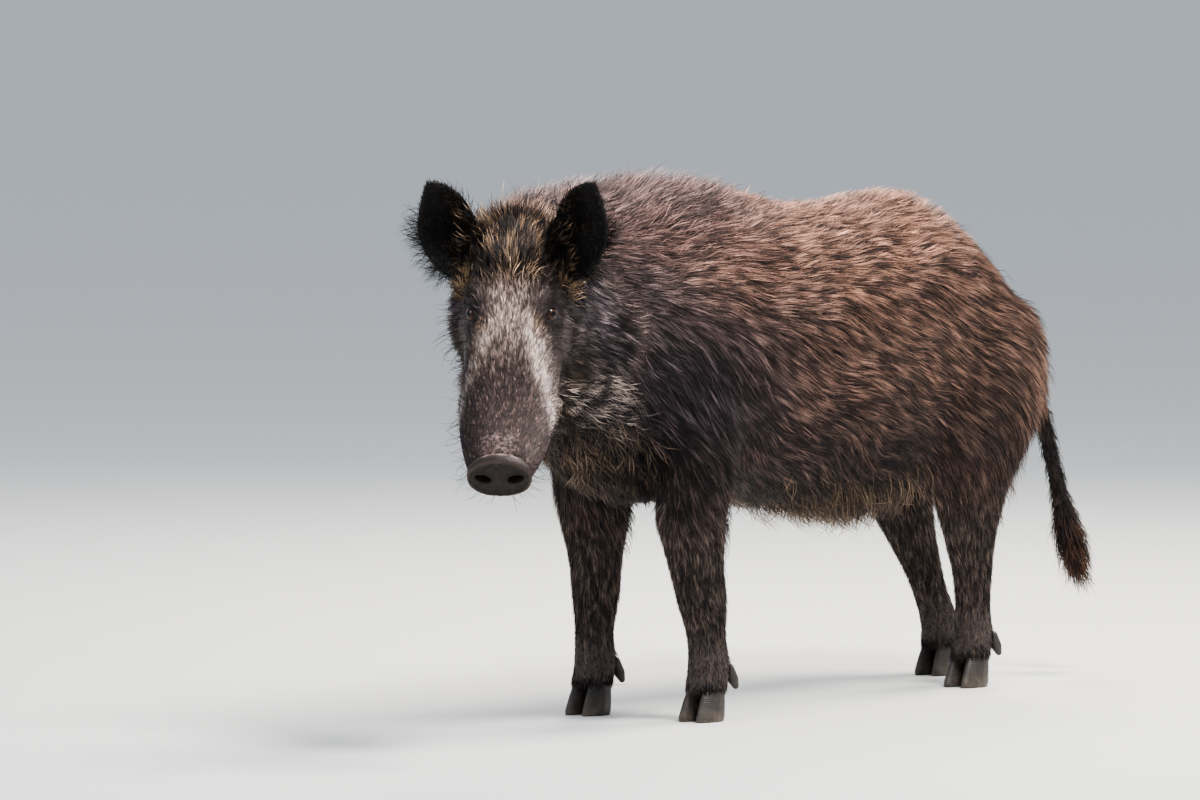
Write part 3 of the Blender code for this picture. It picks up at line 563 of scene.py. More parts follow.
def marking(s, points):
    """Colour at the root and at the tip of the hair, and the share of hairs with that tip."""
    z, side, ahead, up = s.z, s.side, s.ahead, s.up
    cloud = 0.5 + 0.5 * waves(points, 0.15, 41)
    streak = 0.5 + 0.5 * waves(along_lie(s), 0.01, 42, 20)
    shoulder = hill(s.y, -0.06, 0.2) * fall(z, 0.5, 0.7) * s.body
    low, upper = fall(z, 0.36, 0.5) * s.body, rise(z, 0.5, 0.68) * s.body
    neck = fall(s.y, -0.2, 0.02) * fall(z, 0.64, 0.74) * s.body
    # Partly painted shade: the near-black roots are the bristles' own dark bases, and also shade deep in the coat
    # painted in.
    root = mix(UMBER, INK, clamp(0.5 + 0.5 * shoulder + 0.4 * low + 0.25 * s.mane + s.leg))
    tip = painted(
        RUST,
        # Partly painted light: tips turn gold higher up the body, partly the coat's own colour and partly light from
        # above painted in.
        (GOLD, clamp(0.3 * cloud + 0.7 * upper)),
        (ROSE, 0.95 * s.mane),
        (NECK, 0.85 * neck),
        # Partly painted sheen: blue-grey tips on the shoulder.
        (SHOULDER, np.minimum(0.95 * shoulder, 0.92)),
        (FLANK, 0.85 * low),
        (RUMP, 0.7 * s.rump),
        (mix(BELLY, GROIN, s.groin), np.maximum(0.7 * s.belly, s.groin)),
        (mix(THIGH, SHANK, fall(z, 0.26, 0.34)), s.leg),
    )
    # Partly painted light: more pale tips higher up the body.
    share = 0.35 + 0.05 * upper - 0.19 * s.mane - 0.08 * neck - 0.06 * shoulder - 0.12 * low + 0.15 * s.groin
    share = mix(share + 0.08 * s.rump, 0.34, s.leg)

    line = side - 0.026 - 0.3 * (ahead - 0.04)  # across the pale band, from its middle
    band = hill(line, 0, 0.013) * rise(ahead, 0.02, 0.07) * fall(ahead, 0.12, 0.16) * rise(up, -0.022, 0)
    band = band * (0.45 + 0.75 * rise(waves(points, 0.024, 43, 12), -0.8, 0.8))
    # Painted shade: on the animal's right side the pale band is dimmed and tinged tan, for shade on that side of the
    # face; the tan is partly the band's own colour.
    pale = band * mix(1, 0.55, s.out < 0)
    tan = hill(line, 0, 0.02) * (s.out < 0) * span(ahead, 0.03, 0.07, 0.12, 0.15)
    corner = hill(side, 0.064, 0.014) * hill(ahead, 0.15, 0.022) * hill(up, 0.006, 0.026)
    bridge = hill(side, 0, 0.04) * hill(ahead, 0.04, 0.08) * rise(up, 0.03, 0.06) * rise(ahead, -0.05, -0.015)
    below_eye = hill(side, 0.038, 0.01) * hill(ahead, 0.04, 0.014) * rise(up, 0.02, 0.04)
    muzzle, mottle = rise(ahead, 0.05, 0.19), rise(streak, 0.25, 0.75)
    parting, temple = s.crown * fall(side, 0.02, 0.05), s.cheek * rise(up, -0.03, 0.01)
    face = painted(
        DUN,
        (BRIDGE, clamp(bridge + 0.5 * band)),
        (AMBER, clamp(s.crown + below_eye)),
        (TAWNY, 0.7 * parting),
        (SNOUT, muzzle),
        # Painted shade: tan over the band on the animal's right side, partly its own colour.
        (TAN, 0.7 * tan),
        (CREAM, clamp(0.75 * pale + corner)),
        (CHEEK, 0.75 * temple * fall(ahead, -0.02, 0.03)),
        (JAW, 0.75 * s.jaw),
        (NAPE, 0.9 * s.nape),
        (PLUM, clamp(1.4 * s.eye)),
    )
    flecks = rise(waves(points, 0.0075, 44, 20), -0.7, 0.5)
    often = mix(0.36, 0.12 + 0.4 * flecks, muzzle) + 0.28 * bridge + 0.5 * pale * (0.5 + mottle) + 0.45 * corner
    often += 0.1 * s.nape - 0.1 * s.crown - 0.08 * parting - 0.05 * temple - 0.1 * s.jaw - 0.9 * s.eye
    face_root = painted(
        UMBER,
        (ROOT_BRIDGE, clamp(0.75 * bridge + 0.85 * pale)),
        (ROOT_SNOUT, muzzle),
        (INK, np.maximum(clamp(0.8 * s.eye + 0.5 * s.jaw + 0.8 * s.crown), s.nape)),
        (ROOT_PALE, np.clip(0.8 * pale * (0.4 + 0.6 * mottle) + 0.75 * corner * mottle, 0, 0.8)),
    )

    dark = 0.7 * np.maximum(s.bib, s.ruff)
    root = painted(root, (face_root, s.head), (INK, dark), (EAR_ROOTS, s.ear), (INK, s.tail))
    tip = painted(
        tip,
        (face, s.head),
        (BIB, 0.8 * s.bib * (1 - s.ruff)),
        (CREAM, 0.75 * s.ruff),
        (mix(EAR_BACK, EAR_FRONT, rise(s.front, -0.1, 0.4)), s.ear),
        (mix(TAIL, TASSEL, s.tail * fall(z, 0.18, 0.3)), s.tail),
    )
    share = painted(share, (often, s.head), (0.24, s.bib), (0.36, s.ruff))
    return root, tip, np.clip(share, 0.02, 0.95)


# ---- materials
def fill(tree, node, sockets):
    """Sets a node's sockets. Each takes a number, a colour or another node's output."""
    for key, value in sockets.items():
        if isinstance(value, bpy.types.NodeSocket):
            tree.links.new(value, node.inputs[key])
        else:
            node.inputs[key].default_value = (*value, 1) if isinstance(value, tuple) else value


class Nodes:
    """A material's node tree, with short calls."""

    def __init__(self, name):
        self.material = bpy.data.materials.new(name)
        self.material.use_nodes = True
        self.tree = self.material.node_tree

    def node(self, kind, sockets, output=0, **settings):
        made = self.tree.nodes.new("ShaderNode" + kind)
        for key, value in settings.items():
            setattr(made, key, value)
        fill(self.tree, made, sockets)
        return made.outputs[output]

    def read(self, name, output="Fac"):
        return self.node("Attribute", {}, output, attribute_name=name)

    def place(self):
        return self.node("TexCoord", {}, "Object")

    def noise(self, scale, detail=4, vector=None, roughness=0.55):
        vector = vector or self.place()
        return self.node("TexNoise", {"Scale": scale, "Detail": detail, "Roughness": roughness, "Vector": vector})

    def range(self, source, low, high, start, end):
        sockets = {"Value": source, "From Min": low, "From Max": high, "To Min": start, "To Max": end}
        return self.node("MapRange", sockets)

    def vary(self, source, start, end):
        """A noise spread over a range."""
        return self.range(source, 0.3, 0.7, start, end)

    def math(self, operation, one, two):
        return self.node("Math", {0: one, 1: two}, operation=operation)

    def times(self, colour, factor):
        """A colour made lighter or darker by a number."""
        return self.node("VectorMath", {0: colour, "Scale": factor}, operation="SCALE")

    def blend(self, share, one, two):
        return self.node("Mix", {"Factor": share, 6: one, 7: two}, 2, data_type="RGBA")

    def bump(self, height, distance, strength, **below):
        return self.node("Bump", {"Distance": distance, "Strength": strength, "Height": height, **below})

    def surface(self, **sockets):
        """Fills the shader's sockets and gives the material."""
        shader = self.tree.nodes["Principled BSDF"]
        fill(self.tree, shader, {key.replace("_", " "): value for key, value in sockets.items()})
        return self.material


def skin_material():
    """Short hair lying on dark hide, and bare leathery skin where the coat stops."""
    m = Nodes("hide")
    hairs = m.noise(1, 3, m.read("comb", "Vector"), 0.6)
    blotch = m.noise(60, 5)
    bare, wet = m.read("bare"), m.read("wet")
    furry_tone = m.math("MULTIPLY", m.vary(hairs, 0.55, 1.55), m.vary(blotch, 0.88, 1.12))
    tone = m.node("Mix", {"Factor": bare, 2: furry_tone, 3: m.vary(blotch, 0.8, 1.22)})
    grain = m.node("TexVoronoi", {"Scale": 420, "Vector": m.place()}, "Distance")
    leather = m.bump(m.math("MULTIPLY", grain, bare), 0.0006, 0.7)
    furry = m.math("MULTIPLY", hairs, m.math("SUBTRACT", 1, bare))
    return m.surface(
        Base_Color=m.times(m.read("tint", "Color"), tone),
        Roughness=m.math("SUBTRACT", m.vary(m.noise(150, 3), 0.56, 0.74), m.math("MULTIPLY", wet, 0.3)),
        Normal=m.bump(furry, 0.0022, 0.8, Normal=leather),
        Specular_IOR_Level=0.3,
    )


def coat_material():
    m = Nodes("bristle")
    return m.surface(
        Base_Color=m.times(m.read("tint", "Color"), m.vary(m.noise(240, 3), 0.82, 1.2)),
        Roughness=m.vary(m.noise(90, 2), 0.46, 0.62),
        Specular_IOR_Level=0.26,
    )


def eye_material():
    """A black pupil in a brown streaked iris, and a dark rim round it, under a wet film."""
    m = Nodes("wet_eye")
    from_axis, streaks = m.read("from_axis"), m.noise(900)
    iris = m.blend(m.range(streaks, 0.35, 0.65, 0, 1), (0.014, 0.0045, 0.0022), (0.08, 0.023, 0.008))
    rimmed = m.blend(m.range(from_axis, 0.5, 0.62, 0, 1), iris, (0.006, 0.003, 0.003))
    return m.surface(
        Base_Color=m.blend(m.range(from_axis, 0.27, 0.32, 1, 0), rimmed, (0.003, 0.003, 0.004)),
        Roughness=m.vary(streaks, 0.1, 0.16),
        Specular_IOR_Level=0.08,
        Coat_Weight=0.8,
        Coat_Roughness=0.02,
        Coat_IOR=1.36,
    )


def horn_material():
    """Worn dark horn with growth lines round it, paler and dusty towards the sole."""
    m = Nodes("horn")
    height = m.node("SeparateXYZ", {0: m.place()}, "Z")
    wave = {"Scale": 95, "Distortion": 3, "Detail": 3, "Vector": m.place()}
    lines = m.node("TexWave", wave, "Fac", bands_direction="Z")
    worn = m.math("MULTIPLY", m.range(height, 0, 0.03, 1, 0), m.range(m.noise(70, 5), 0.35, 0.65, 0.1, 1))
    dark = m.blend(m.noise(130), (0.012, 0.01, 0.009), (0.042, 0.032, 0.026))
    return m.surface(
        Base_Color=m.blend(worn, dark, (0.105, 0.082, 0.062)),
        Roughness=m.vary(m.noise(200, 3), 0.38, 0.62),
        Normal=m.bump(m.math("ADD", lines, m.noise(300)), 0.0004, 0.45),
    )


HORN_GRAIN = 0.0012  # grid of the worn hooves, and how near the floor their soles are


def hooves():
    """Hooves and dewclaws with their edges worn round."""
    horn = horn_material()
    for name, node in list(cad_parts.items()):
        if not name.startswith(("hoof_", "dewclaw_")):
            continue
        data = node.data.copy()
        data.materials.clear()
        obj = remeshed(object_of("worn_" + name, data), HORN_GRAIN)
        co, _, _ = read(obj.data)
        sole = co[:, 2] < HORN_GRAIN
        co = relaxed(co, obj.data, np.full(len(co), 0.5), 12)
        co[sole, 2] = 0
        moved(obj.data, co)
        obj.data.shade_smooth()
        obj.data.materials.append(horn)
        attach(obj, "root")
        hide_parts(name)


# ---- unwrap
LEG_AXES = ((0.101, -0.015), (-0.097, -0.006), (0.092, 0.672), (-0.08, 0.745))
# Trunk, head, four legs, tail, the back and the front of each ear, and the snout disc: corner and size of each
# one's place on the map.
ATLAS = np.array(
    [(0.02, 0.02, 0.56, 0.56), (0.62, 0.02, 0.36, 0.34)]
    + [(0.02 + 0.21 * k, 0.62, 0.17, 0.34) for k in range(4)]
    + [(0.87, 0.62, 0.1, 0.34)]
    + [(0.6 + 0.075 * k, 0.4, 0.06, 0.18) for k in range(4)]
    + [(0.91, 0.42, 0.07, 0.14)]
)
TAIL_ISLAND, DISC_ISLAND = 6, 11


def island_of(s):
    island = np.where(s.head > 0.5, 1, 0)
    island = np.where(s.leg > 0.5, 2 + np.where(s.y < 0.3, 0, 2) + (s.x < 0), island)
    island = np.where(s.tail > 0.5, TAIL_ISLAND, island)
    island = np.where(s.ear > 0.5, TAIL_ISLAND + 1 + 2 * (s.out < 0) + (s.front > 0), island)
    return np.where(s.disc > 0.5, DISC_ISLAND, island)


def unwrap(s, island, middle=None):
    """Places on the map. A face gives the angle of its middle, so that its corners stay on one side of a cut."""
    ways = [(s.x, s.z - 0.53, (s.y + 0.42) / 1.32), (s.out, s.up, (s.ahead + 0.2) / 0.51)]
    ways += [(s.x - x, s.y - y, s.z / 0.5) for x, y in LEG_AXES]
    ways.append((s.x - 0.05, s.y - 0.915, (s.z - 0.14) / 0.48))
    chosen = np.minimum(island, TAIL_ISLAND), np.arange(len(island))
    angle = np.array([np.arctan2(a, b) for a, b, _ in ways])[chosen]
    if middle is not None:
        angle = middle + (angle - middle + np.pi) % (2 * np.pi) - np.pi
    u, v = angle / (2 * np.pi) + 0.5, np.array([c for _, _, c in ways])[chosen]
    ear, disc = (island > TAIL_ISLAND) & (island < DISC_ISLAND), island == DISC_ISLAND
    u = np.where(ear, (s.side - 0.02) / 0.15, np.where(disc, s.disc_across / 0.11 + 0.5, u))
    v = np.where(ear, (s.up - 0.02) / 0.23, np.where(disc, s.disc_up / 0.09 + 0.5, v))
    return ATLAS[island, :2] + np.stack([np.clip(u, -0.03, 1.03), clamp(v)], 1) * ATLAS[island, 2:], angle


# ---- the coat
LEVELS = {1: (0.0,), 2: (0.0, 0.5), 3: (0.0, 0.36, 0.72)}  # rings of a tuft along its length
RING = [(-0.5, -0.18), (0.5, -0.18), (0.0, 0.34)]  # its section, across and out from the skin, in widths
TAPER = 0.45  # share of the width lost by the tip
ROOT_SUNK = 0.001  # roots start this far under the skin
PATCH = 0.003  # size of a tuft's place on the map
MOST_TRIANGLES = 199_000  # in one piece
LOCKS = {"coat_body": 4, "coat_legs": 4, "coat_face": 3}  # tufts to a lock, where it isn't 6


def level_with(way, normals):
    """Turns ways into the surface."""
    return unit(way - normals * dots(way, normals))


def lie(s, points, normals):
    """The way the hair lies, as a unit vector along the surface."""
    turn = np.radians(32) * fall(s.y, -0.36, -0.1) * rise(s.z, 0.66, 0.76)
    down = 0.1 + 0.38 * fall(s.z, 0.56, 0.74) + 1.5 * rise(s.y, 0.6, 0.88)
    down += 1.2 * hill(s.y, -0.03, 0.13) * fall(s.z, 0.46, 0.66) - 0.25 * s.belly
    haunch = 0.75 * hill(s.y, 0.66, 0.13) * fall(s.z, 0.36, 0.6)
    body = mix(columns(-np.sin(turn), np.cos(turn), -down), (0, 0.35, -1), haunch)
    body = mix(unit(body), unit(np.array([(0, 0.6, -0.75)])), 0.8 * s.bib)
    rising = 0.5 * s.crown - 0.9 * s.cheek - 0.35 * s.jaw
    face = columns(s.out * (14 * s.crown + 8 * s.cheek), 0.3 * s.crown - 1, rising) @ HEAD
    sign = np.sign(s.out)
    face = mix(unit(face), unit(columns(0.15 * sign, 0.85, -0.45)), np.maximum(s.nape, s.ruff))
    outward = sign * (EAR_TIP[0] - EAR_ROOT[0] + 0.25 * (s.side - 0.09))
    ear = unit(columns(outward, -0.02, 0.125)) @ HEAD
    way = painted(unit(body), ((0, 0.18, -1), s.leg), ((0.18, 0.16, -1), s.tail), (unit(face), s.head), (ear, s.ear))
    for size, length, seed, count in ((0.15 + 0.09 * s.body, 0.11, 51, 8), (0.06 + 0.1 * s.belly, 0.028, 54, 16)):
        way = way + size[:, None] * np.stack([waves(points, length, seed + k, count) for k in range(3)], 1)
    return level_with(way, normals)


def hair_sizes(s):
    """Length, width at the root, and number of tufts a square metre."""
    muzzle = rise(s.ahead, 0.1, 0.2)
    long = clamp(s.crown + s.jaw + s.cheek * fall(s.ahead, -0.02, 0.05))
    face = 0.0115 + 0.019 * s.crown + 0.014 * s.cheek * fall(s.ahead, -0.03, 0.05) + 0.013 * s.jaw
    face = painted(face, (0.0075, muzzle), (0.0044, clamp(1.3 * s.eye**2)))
    thin = mix(0.00095 + 0.0002 * long, 0.0009, muzzle)
    many = mix(480_000 - 300_000 * long, 520_000, muzzle) * mix(1, 0.6, s.top)
    length = 0.039 + 0.006 * s.mane + 0.002 * s.rump + 0.006 * s.bib
    length = painted(length, (0.019, s.leg), (0.0085, fall(s.z, 0.08, 0.2) * s.leg), (face, s.head))
    width = painted(0.0012 - 0.0001 * s.mane, (0.0012, s.leg), (thin, s.head), (0.001, s.ear), (0.0012, s.tail))
    dense = painted(120_000 + 20_000 * s.mane, (190_000, s.leg), (many, s.head), (170_000, s.ear), (200_000, s.tail))
    return painted(length, (0.01, s.ear), (0.018, s.tail)), width, dense


def areas(co, faces):
    a, b, c = (co[faces[:, k]] for k in range(3))
    return 0.5 * np.linalg.norm(np.cross(b - a, c - a), axis=1)


def rooted(skin, weight, count, seed):
    """Roots spread over the skin's triangles by weight: the zones there, the points and the normals."""
    rng = np.random.default_rng(seed)
    total = np.cumsum(areas(skin.co, skin.faces) * weight)
    spots = (np.arange(count) + rng.random(count)) / count * total[-1]
    corners = skin.faces[np.minimum(np.searchsorted(total, spots), len(skin.faces) - 1)]
    r, t = np.sqrt(rng.random(count)), rng.random(count)
    share = columns(1 - r, r * (1 - t), r * t)
    at, normal = ((values[corners] * share[..., None]).sum(1) for values in (skin.co, skin.normals))
    return at_faces(skin.s, corners, share), at, unit(normal)


def tufts(name, tuft, rings=2):
    """Closed three-sided tufts that taper to a point, joined into pieces of under 200,000 triangles."""
    count = len(tuft.root)
    across = unit(np.cross(tuft.way, tuft.normal))
    co, tint, uv = [], [], []
    for t in (*LEVELS[rings], 1.0):
        out = tuft.lift * (1 - (1 - t) ** 2) - ROOT_SUNK * (1 - t)
        middle = tuft.root + tuft.way * (tuft.length * t)[:, None] + tuft.normal * out[:, None]
        middle = middle + tuft.drift * (t * t) + across * (tuft.curl * t * t)[:, None]
        wide = (tuft.width * (1 - TAPER * t))[:, None]
        for x, y in RING if t < 1 else [(0, 0)]:
            co.append(middle + across * wide * x + tuft.normal * wide * y)
            # Dark at the root and light at the tip: partly the bristles' own colour, partly painted shade deep in the
            # coat.
            tint.append(mix(tuft.root_tint, tuft.tip_tint, rise(t, 0.1, 0.85) * np.ones(count)))
            uv.append(tuft.uv + PATCH * np.array((x, t - 0.5)))
    co, tint, uv = (np.stack(rows, 1) for rows in (co, tint, uv))
    tip = co.shape[1] - 1
    pattern = [(0, 2, 1)]
    for low in range(0, tip - 3, 3):
        for k in range(3):
            one, two = low + k, low + (k + 1) % 3
            pattern += [(one, two, two + 3), (one, two + 3, one + 3)]
    pattern = np.array(pattern + [(tip - 3 + k, tip - 3 + (k + 1) % 3, tip) for k in range(3)])
    pieces = math.ceil(count / (MOST_TRIANGLES // len(pattern)))
    for piece in range(pieces):
        chosen = slice(piece * count // pieces, (piece + 1) * count // pieces)
        here = co[chosen]
        faces = (np.arange(len(here))[:, None, None] * (tip + 1) + pattern).reshape(-1, 3)
        data = mesh_of(name, here.reshape(-1, 3), faces)
        tinted(data, tint[chosen].reshape(-1, 3))
        data.uv_layers.new(name="OFBake").data.foreach_set("uv", flat32(uv[chosen].reshape(-1, 2)[faces.ravel()]))
        data.materials.append(COAT)
        obj = object_of(f"{name}_{piece + 1}" if pieces > 1 else name, data)
        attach(obj, "root")


def grown(s, points, normals, seed, **changes):
    """Tufts at roots, with sizes, lie and colours from where they stand unless they are given."""
    rng = np.random.default_rng(seed)
    count = len(points)
    length, width, _ = hair_sizes(s)
    root_tint, tip_tint, share = marking(s, points)
    streak = 0.5 + 0.5 * mix(waves(along_lie(s), 0.01, 61, 20), waves(along_lie(s), 0.005, 62, 24), s.head)
    lit = rng.random(count) < share * (0.35 + 1.2 * rise(streak, 0.1, 0.9))
    tip_tint = np.where(lit[:, None], tip_tint, mix(root_tint, tip_tint, 0.05)) * rng.uniform(0.65, 1.35, (count, 1))
    way = lie(s, points, normals)
    stray = rng.normal(0, 0.15, count) * (0.6 + 0.8 * s.mane + 0.5 * s.crown)
    tuft = Bag(
        root=points,
        normal=normals,
        way=unit(way + np.cross(way, normals) * stray[:, None]),
        length=length,
        lift=coat_depth(s) * (1 + 0.5 * s.crown),
        width=width,
        curl=rng.normal(0, 0.06, count),
        drift=np.zeros((count, 3)),
        root_tint=root_tint * rng.uniform(0.5, 1.4, (count, 1)),
        tip_tint=tip_tint,
        uv=unwrap(s, island_of(s))[0],
        together=1,
        lock=7,
    )
    vars(tuft).update(changes)
    tuft.length = tuft.length * rng.uniform(0.7, 1.22, count)
    tuft.width = tuft.width * rng.uniform(0.75, 1.3, count)
    tuft.lift = np.minimum(tuft.lift * rng.uniform(0.55, 1.12, count), 0.8 * tuft.length)
    tuft.curl = tuft.curl * tuft.length
    if tuft.together:
        clump(tuft, s, rng)
    return tuft


def clump(tuft, s, rng):
    """Draws the tips of neighbouring tufts together into long thin locks, some of which lie lower and duller."""
    count = len(tuft.root)
    tips = tuft.root + tuft.way * tuft.length[:, None] + tuft.normal * tuft.lift[:, None]
    leaders = rng.permutation(count)[: max(count // tuft.lock, 1)]
    grain = along_lie(s)
    tree = KDTree(len(leaders))
    for i, leader in enumerate(leaders):
        tree.insert(grain[leader], i)
    tree.balance()
    lock = np.array([tree.find(spot)[1] for spot in grain])
    nearest = leaders[lock]
    pull = (tips[nearest] - tips) * rng.uniform(0.25, 0.7, count)[:, None] * (1 - 0.5 * s.ear)[:, None]
    pull -= 0.8 * tuft.way * dots(pull, tuft.way)
    far = np.maximum(np.linalg.norm(pull, axis=1, keepdims=True), 1e-9)
    tuft.drift = tuft.together * pull * np.minimum(1, 0.35 * tuft.length[:, None] / far)
    tuft.lift = tuft.lift * rng.uniform(0.5, 1.15, len(leaders))[lock]
    same = rng.uniform(0.25, 0.9, count) ** (1 - 0.6 * s.head)
    spread = (0.36 + 0.12 * s.head - 0.12 * s.leg)[nearest]
    shade = np.exp(rng.normal(0, 1, len(leaders)).clip(-2.2, 1.9)[lock] * spread)[:, None]
    tuft.tip_tint = mix(tuft.tip_tint, tuft.tip_tint[nearest], same) * shade
    tuft.root_tint = tuft.root_tint * shade**0.7


def joined(sets):
    """Several sets of tufts as one."""
    keys = ("root", "normal", "way", "length", "lift", "width", "curl", "drift", "root_tint", "tip_tint", "uv")
    return Bag(**{key: np.concatenate([getattr(each, key) for each in sets]) for key in keys})


def coat(skin):
    """The coat over the whole skin, thickest where the hair is short."""
    middle = at_faces(skin.s, skin.faces, 1 / 3)
    weight = hair_sizes(middle)[2] * fall(middle.bare, 0.2, 0.9)
    ear = middle.ear > 0.5
    head = (middle.head > 0.5) & ~ear
    leg = (middle.leg > 0.5) & ~head & ~ear
    long = head & (middle.crown + middle.jaw + middle.cheek * fall(middle.ahead, -0.02, 0.05) > 0.5)
    groups = [("coat_body", "coat", ~(ear | head | leg)), ("coat_legs", "leg", leg), ("coat_ears", "ear", ear)]
    groups += [("coat_face", "face", head & ~long), ("coat_ruff", "face", long)]
    for seed, (name, slot, here) in enumerate(groups, 71):
        count = int((areas(skin.co, skin.faces) * weight * here).sum())
        roots = rooted(skin, weight * here, count, seed)
        tufts(name, grown(*roots, seed + 10, lock=LOCKS.get(name, 6)), 1)


# ---- longer hair
class Brush:
    """Adds longer hair where it stands out from the coat, by a weight on each vertex of the skin."""

    def __init__(self, skin):
        self.skin, self.made = skin, []

    def add(self, count, weight, way, length, width, lift, seed, tints=None, together=0.7, wild=0.25, curl=0.1):
        """Length and width are in mm. Way and length may be functions of the zones. Tints: dark, light, its share."""
        rng = np.random.default_rng(seed)
        s, at, normal = rooted(self.skin, weight[self.skin.faces].mean(1), count, seed)
        way = way(s) if callable(way) else np.array([way])
        way = level_with(unit(way + wild * rng.normal(size=(count, 3))), normal)
        long = (length(s) if callable(length) else length) / 1000 * np.ones(count)
        given = dict(way=way, length=long, width=np.full(count, width / 1000), lift=lift * long, together=together)
        given["curl"] = rng.normal(0, curl, count)
        if tints:
            dark, light, often = map(np.array, tints)
            lit = rng.random((count, 1)) < often
            tone = rng.uniform(0.7, 1.3, (count, 1))
            given["root_tint"] = dark * rng.uniform(0.6, 1.4, (count, 1))
            given["tip_tint"] = np.where(lit, light, 1.5 * dark) * tone
        self.made.append(grown(s, at, normal, seed + 1, **given))

    def finish(self, name, rings=2):
        tufts(name, joined(self.made), rings)
        self.made = []


def sideways(out, ahead, up):
    """A way in the head's axes that leans outwards on both sides."""
    return lambda s: columns(out * s.out / (s.side + 0.015), ahead, up) @ HEAD


def fringes(skin):
    """Hair that breaks the outline: on the back, belly, elbows, thighs, tail, feet, ears, crown, cheeks and lips."""
    brush = Brush(skin)
    add, s = brush.add, skin.s
    _, ny, nz = skin.normals.T
    under, behind = rise(-nz, 0.25, 0.75), rise(ny, 0.15, 0.65)
    back = s.body * rise(nz, 0.45, 0.8) * rise(s.z, 0.58, 0.72)
    add(3400, back, (0, 0.9, 0), 36, 0.9, 0.45, 101, together=0.3)
    ridge = s.mane * s.crest * rise(nz, 0.2, 0.6)
    add(2600, ridge, (0, 0.9, 0.35), 48, 0.9, 0.62, 117, together=0.4)
    add(2600, s.belly * under, (0, 0.8, -0.6), 38, 1.2, 0.6, 103, (INK, (0.2, 0.145, 0.105), 0.4))
    add(1500, s.groin * under, (0, 0.25, -1), 52, 1.2, 0.85, 105, (UMBER, (0.34, 0.24, 0.15), 0.5))
    elbow = hill(s.y, 0.03, 0.06) * hill(s.z, 0.34, 0.07) * rise(s.z, 0.2, 0.26) * behind * (1 - s.head)
    add(900, elbow, (0, 0.55, -1), 32, 1.3, 0.6, 107, (INK, (0.2, 0.13, 0.09), 0.3))
    thigh = rise(s.y, 0.66, 0.78) * hill(s.z, 0.4, 0.13) * rise(s.z, 0.18, 0.26) * behind * (1 - s.tail)
    add(1900, thigh, (0, 0.45, -1), 36, 1.3, 0.6, 109, (INK, (0.26, 0.14, 0.085), 0.4))
    chest = hill(s.y, -0.17, 0.1) * fall(s.z, 0.36, 0.46) * under * (1 - s.head)
    add(700, chest, (0, 0.4, -1), 32, 1.2, 0.6, 111, (INK, (0.17, 0.12, 0.085), 0.35))
    add(1500, s.bib, (0, 0.55, -0.85), 42, 1.1, 0.5, 115, (INK, (0.3, 0.21, 0.145), 0.34), wild=0.4)
    tail = s.tail * (0.5 + 1.3 * fall(s.z, 0.2, 0.32))
    add(2600, tail, (0.16, 0.18, -1), lambda s: 24 + 26 * fall(s.z, 0.2, 0.3), 1.1, 0.38, 113, together=0.9)
    feet = (INK, (0.13, 0.1, 0.088), 0.35)
    add(2000, fall(s.z, 0.054, 0.064) * fall(-nz, 0.4, 0.7), (0, 0.1, -1), 17, 0.9, 0.14, 119, feet)
    near = 0
    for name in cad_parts:
        if name.startswith("dewclaw_"):
            low, high = map(np.array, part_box(name))
            top = np.append((low + high)[:2] / 2, high[2])
            near += hill(np.linalg.norm(skin.co - top, axis=1), 0.004, 0.009)
    add(900, near, (0, 0.4, -1), 15, 0.9, 0.45, 120, feet)
    brush.finish("fringe_body")

    edge = s.ear * hill(s.front, 0, 0.45)
    outer = rise(s.side, 0.105, 0.14) * fall(s.up, 0.13, 0.19) + rise(s.side, 0.08, 0.11) * fall(s.up, 0.075, 0.1)

    def drooping(s):
        return columns(np.sign(s.out), -0.1, 0.2 - 1.1 * fall(s.up, 0.07, 0.14)) @ HEAD

    def outward(s):
        return columns(np.sign(s.out) * (s.side - 0.08) * 8, 0, 0.6) @ HEAD

    black = ((0.005, 0.004, 0.004), (0.02, 0.016, 0.015), 0.4)
    add(1000, edge * outer, drooping, 34, 0.5, 0.6, 121, black, together=0.5, wild=0.28)
    add(1500, edge, outward, 8, 0.6, 0.6, 123, black, together=0.3, wild=0.3)
    inside = s.ear * rise(s.front, 0.3, 0.7) * fall(s.side, 0.075, 0.115)
    brown = ((0.01, 0.008, 0.007), (0.11, 0.075, 0.05), 0.35)
    add(900, inside, outward, 22, 0.9, 0.55, 125, brown, together=0.6)
    brush.finish("fringe_ears")

    by_ear = s.head * (1 - s.ear) * fall(s.gap, 0.01, 0.026) * rise(s.ahead, -0.13, -0.09)
    add(1100, by_ear, sideways(1, -0.25, 0.55), 25, 0.8, 0.6, 131, (INK, (0.45, 0.3, 0.17), 0.4), wild=0.35)
    top = s.crown * fall(s.side, 0.05, 0.08)
    add(900, top, sideways(0.8, -0.5, 0.9), 30, 1.1, 0.75, 133, (INK, AMBER, 0.22))
    add(1300, s.ruff, sideways(0.9, -1, -0.75), 30, 1, 0.55, 135, (INK, (0.7, 0.57, 0.5), 0.36), wild=0.35)
    lip = s.head * hill(s.side, 0.066, 0.014) * hill(s.ahead, 0.13, 0.035) * fall(s.up, 0.005, 0.03)
    add(400, lip, sideways(1, -1, -0.5), 18, 0.8, 0.45, 139, (UMBER, (0.66, 0.55, 0.48), 0.35), wild=0.35)
    throat = s.jaw * rise(-(skin.normals @ UP), 0.2, 0.7)
    add(1100, throat, sideways(0, -0.8, -0.8), 28, 1.2, 0.6, 137, (INK, (0.3, 0.2, 0.12), 0.4))
    brush.finish("fringe_head")

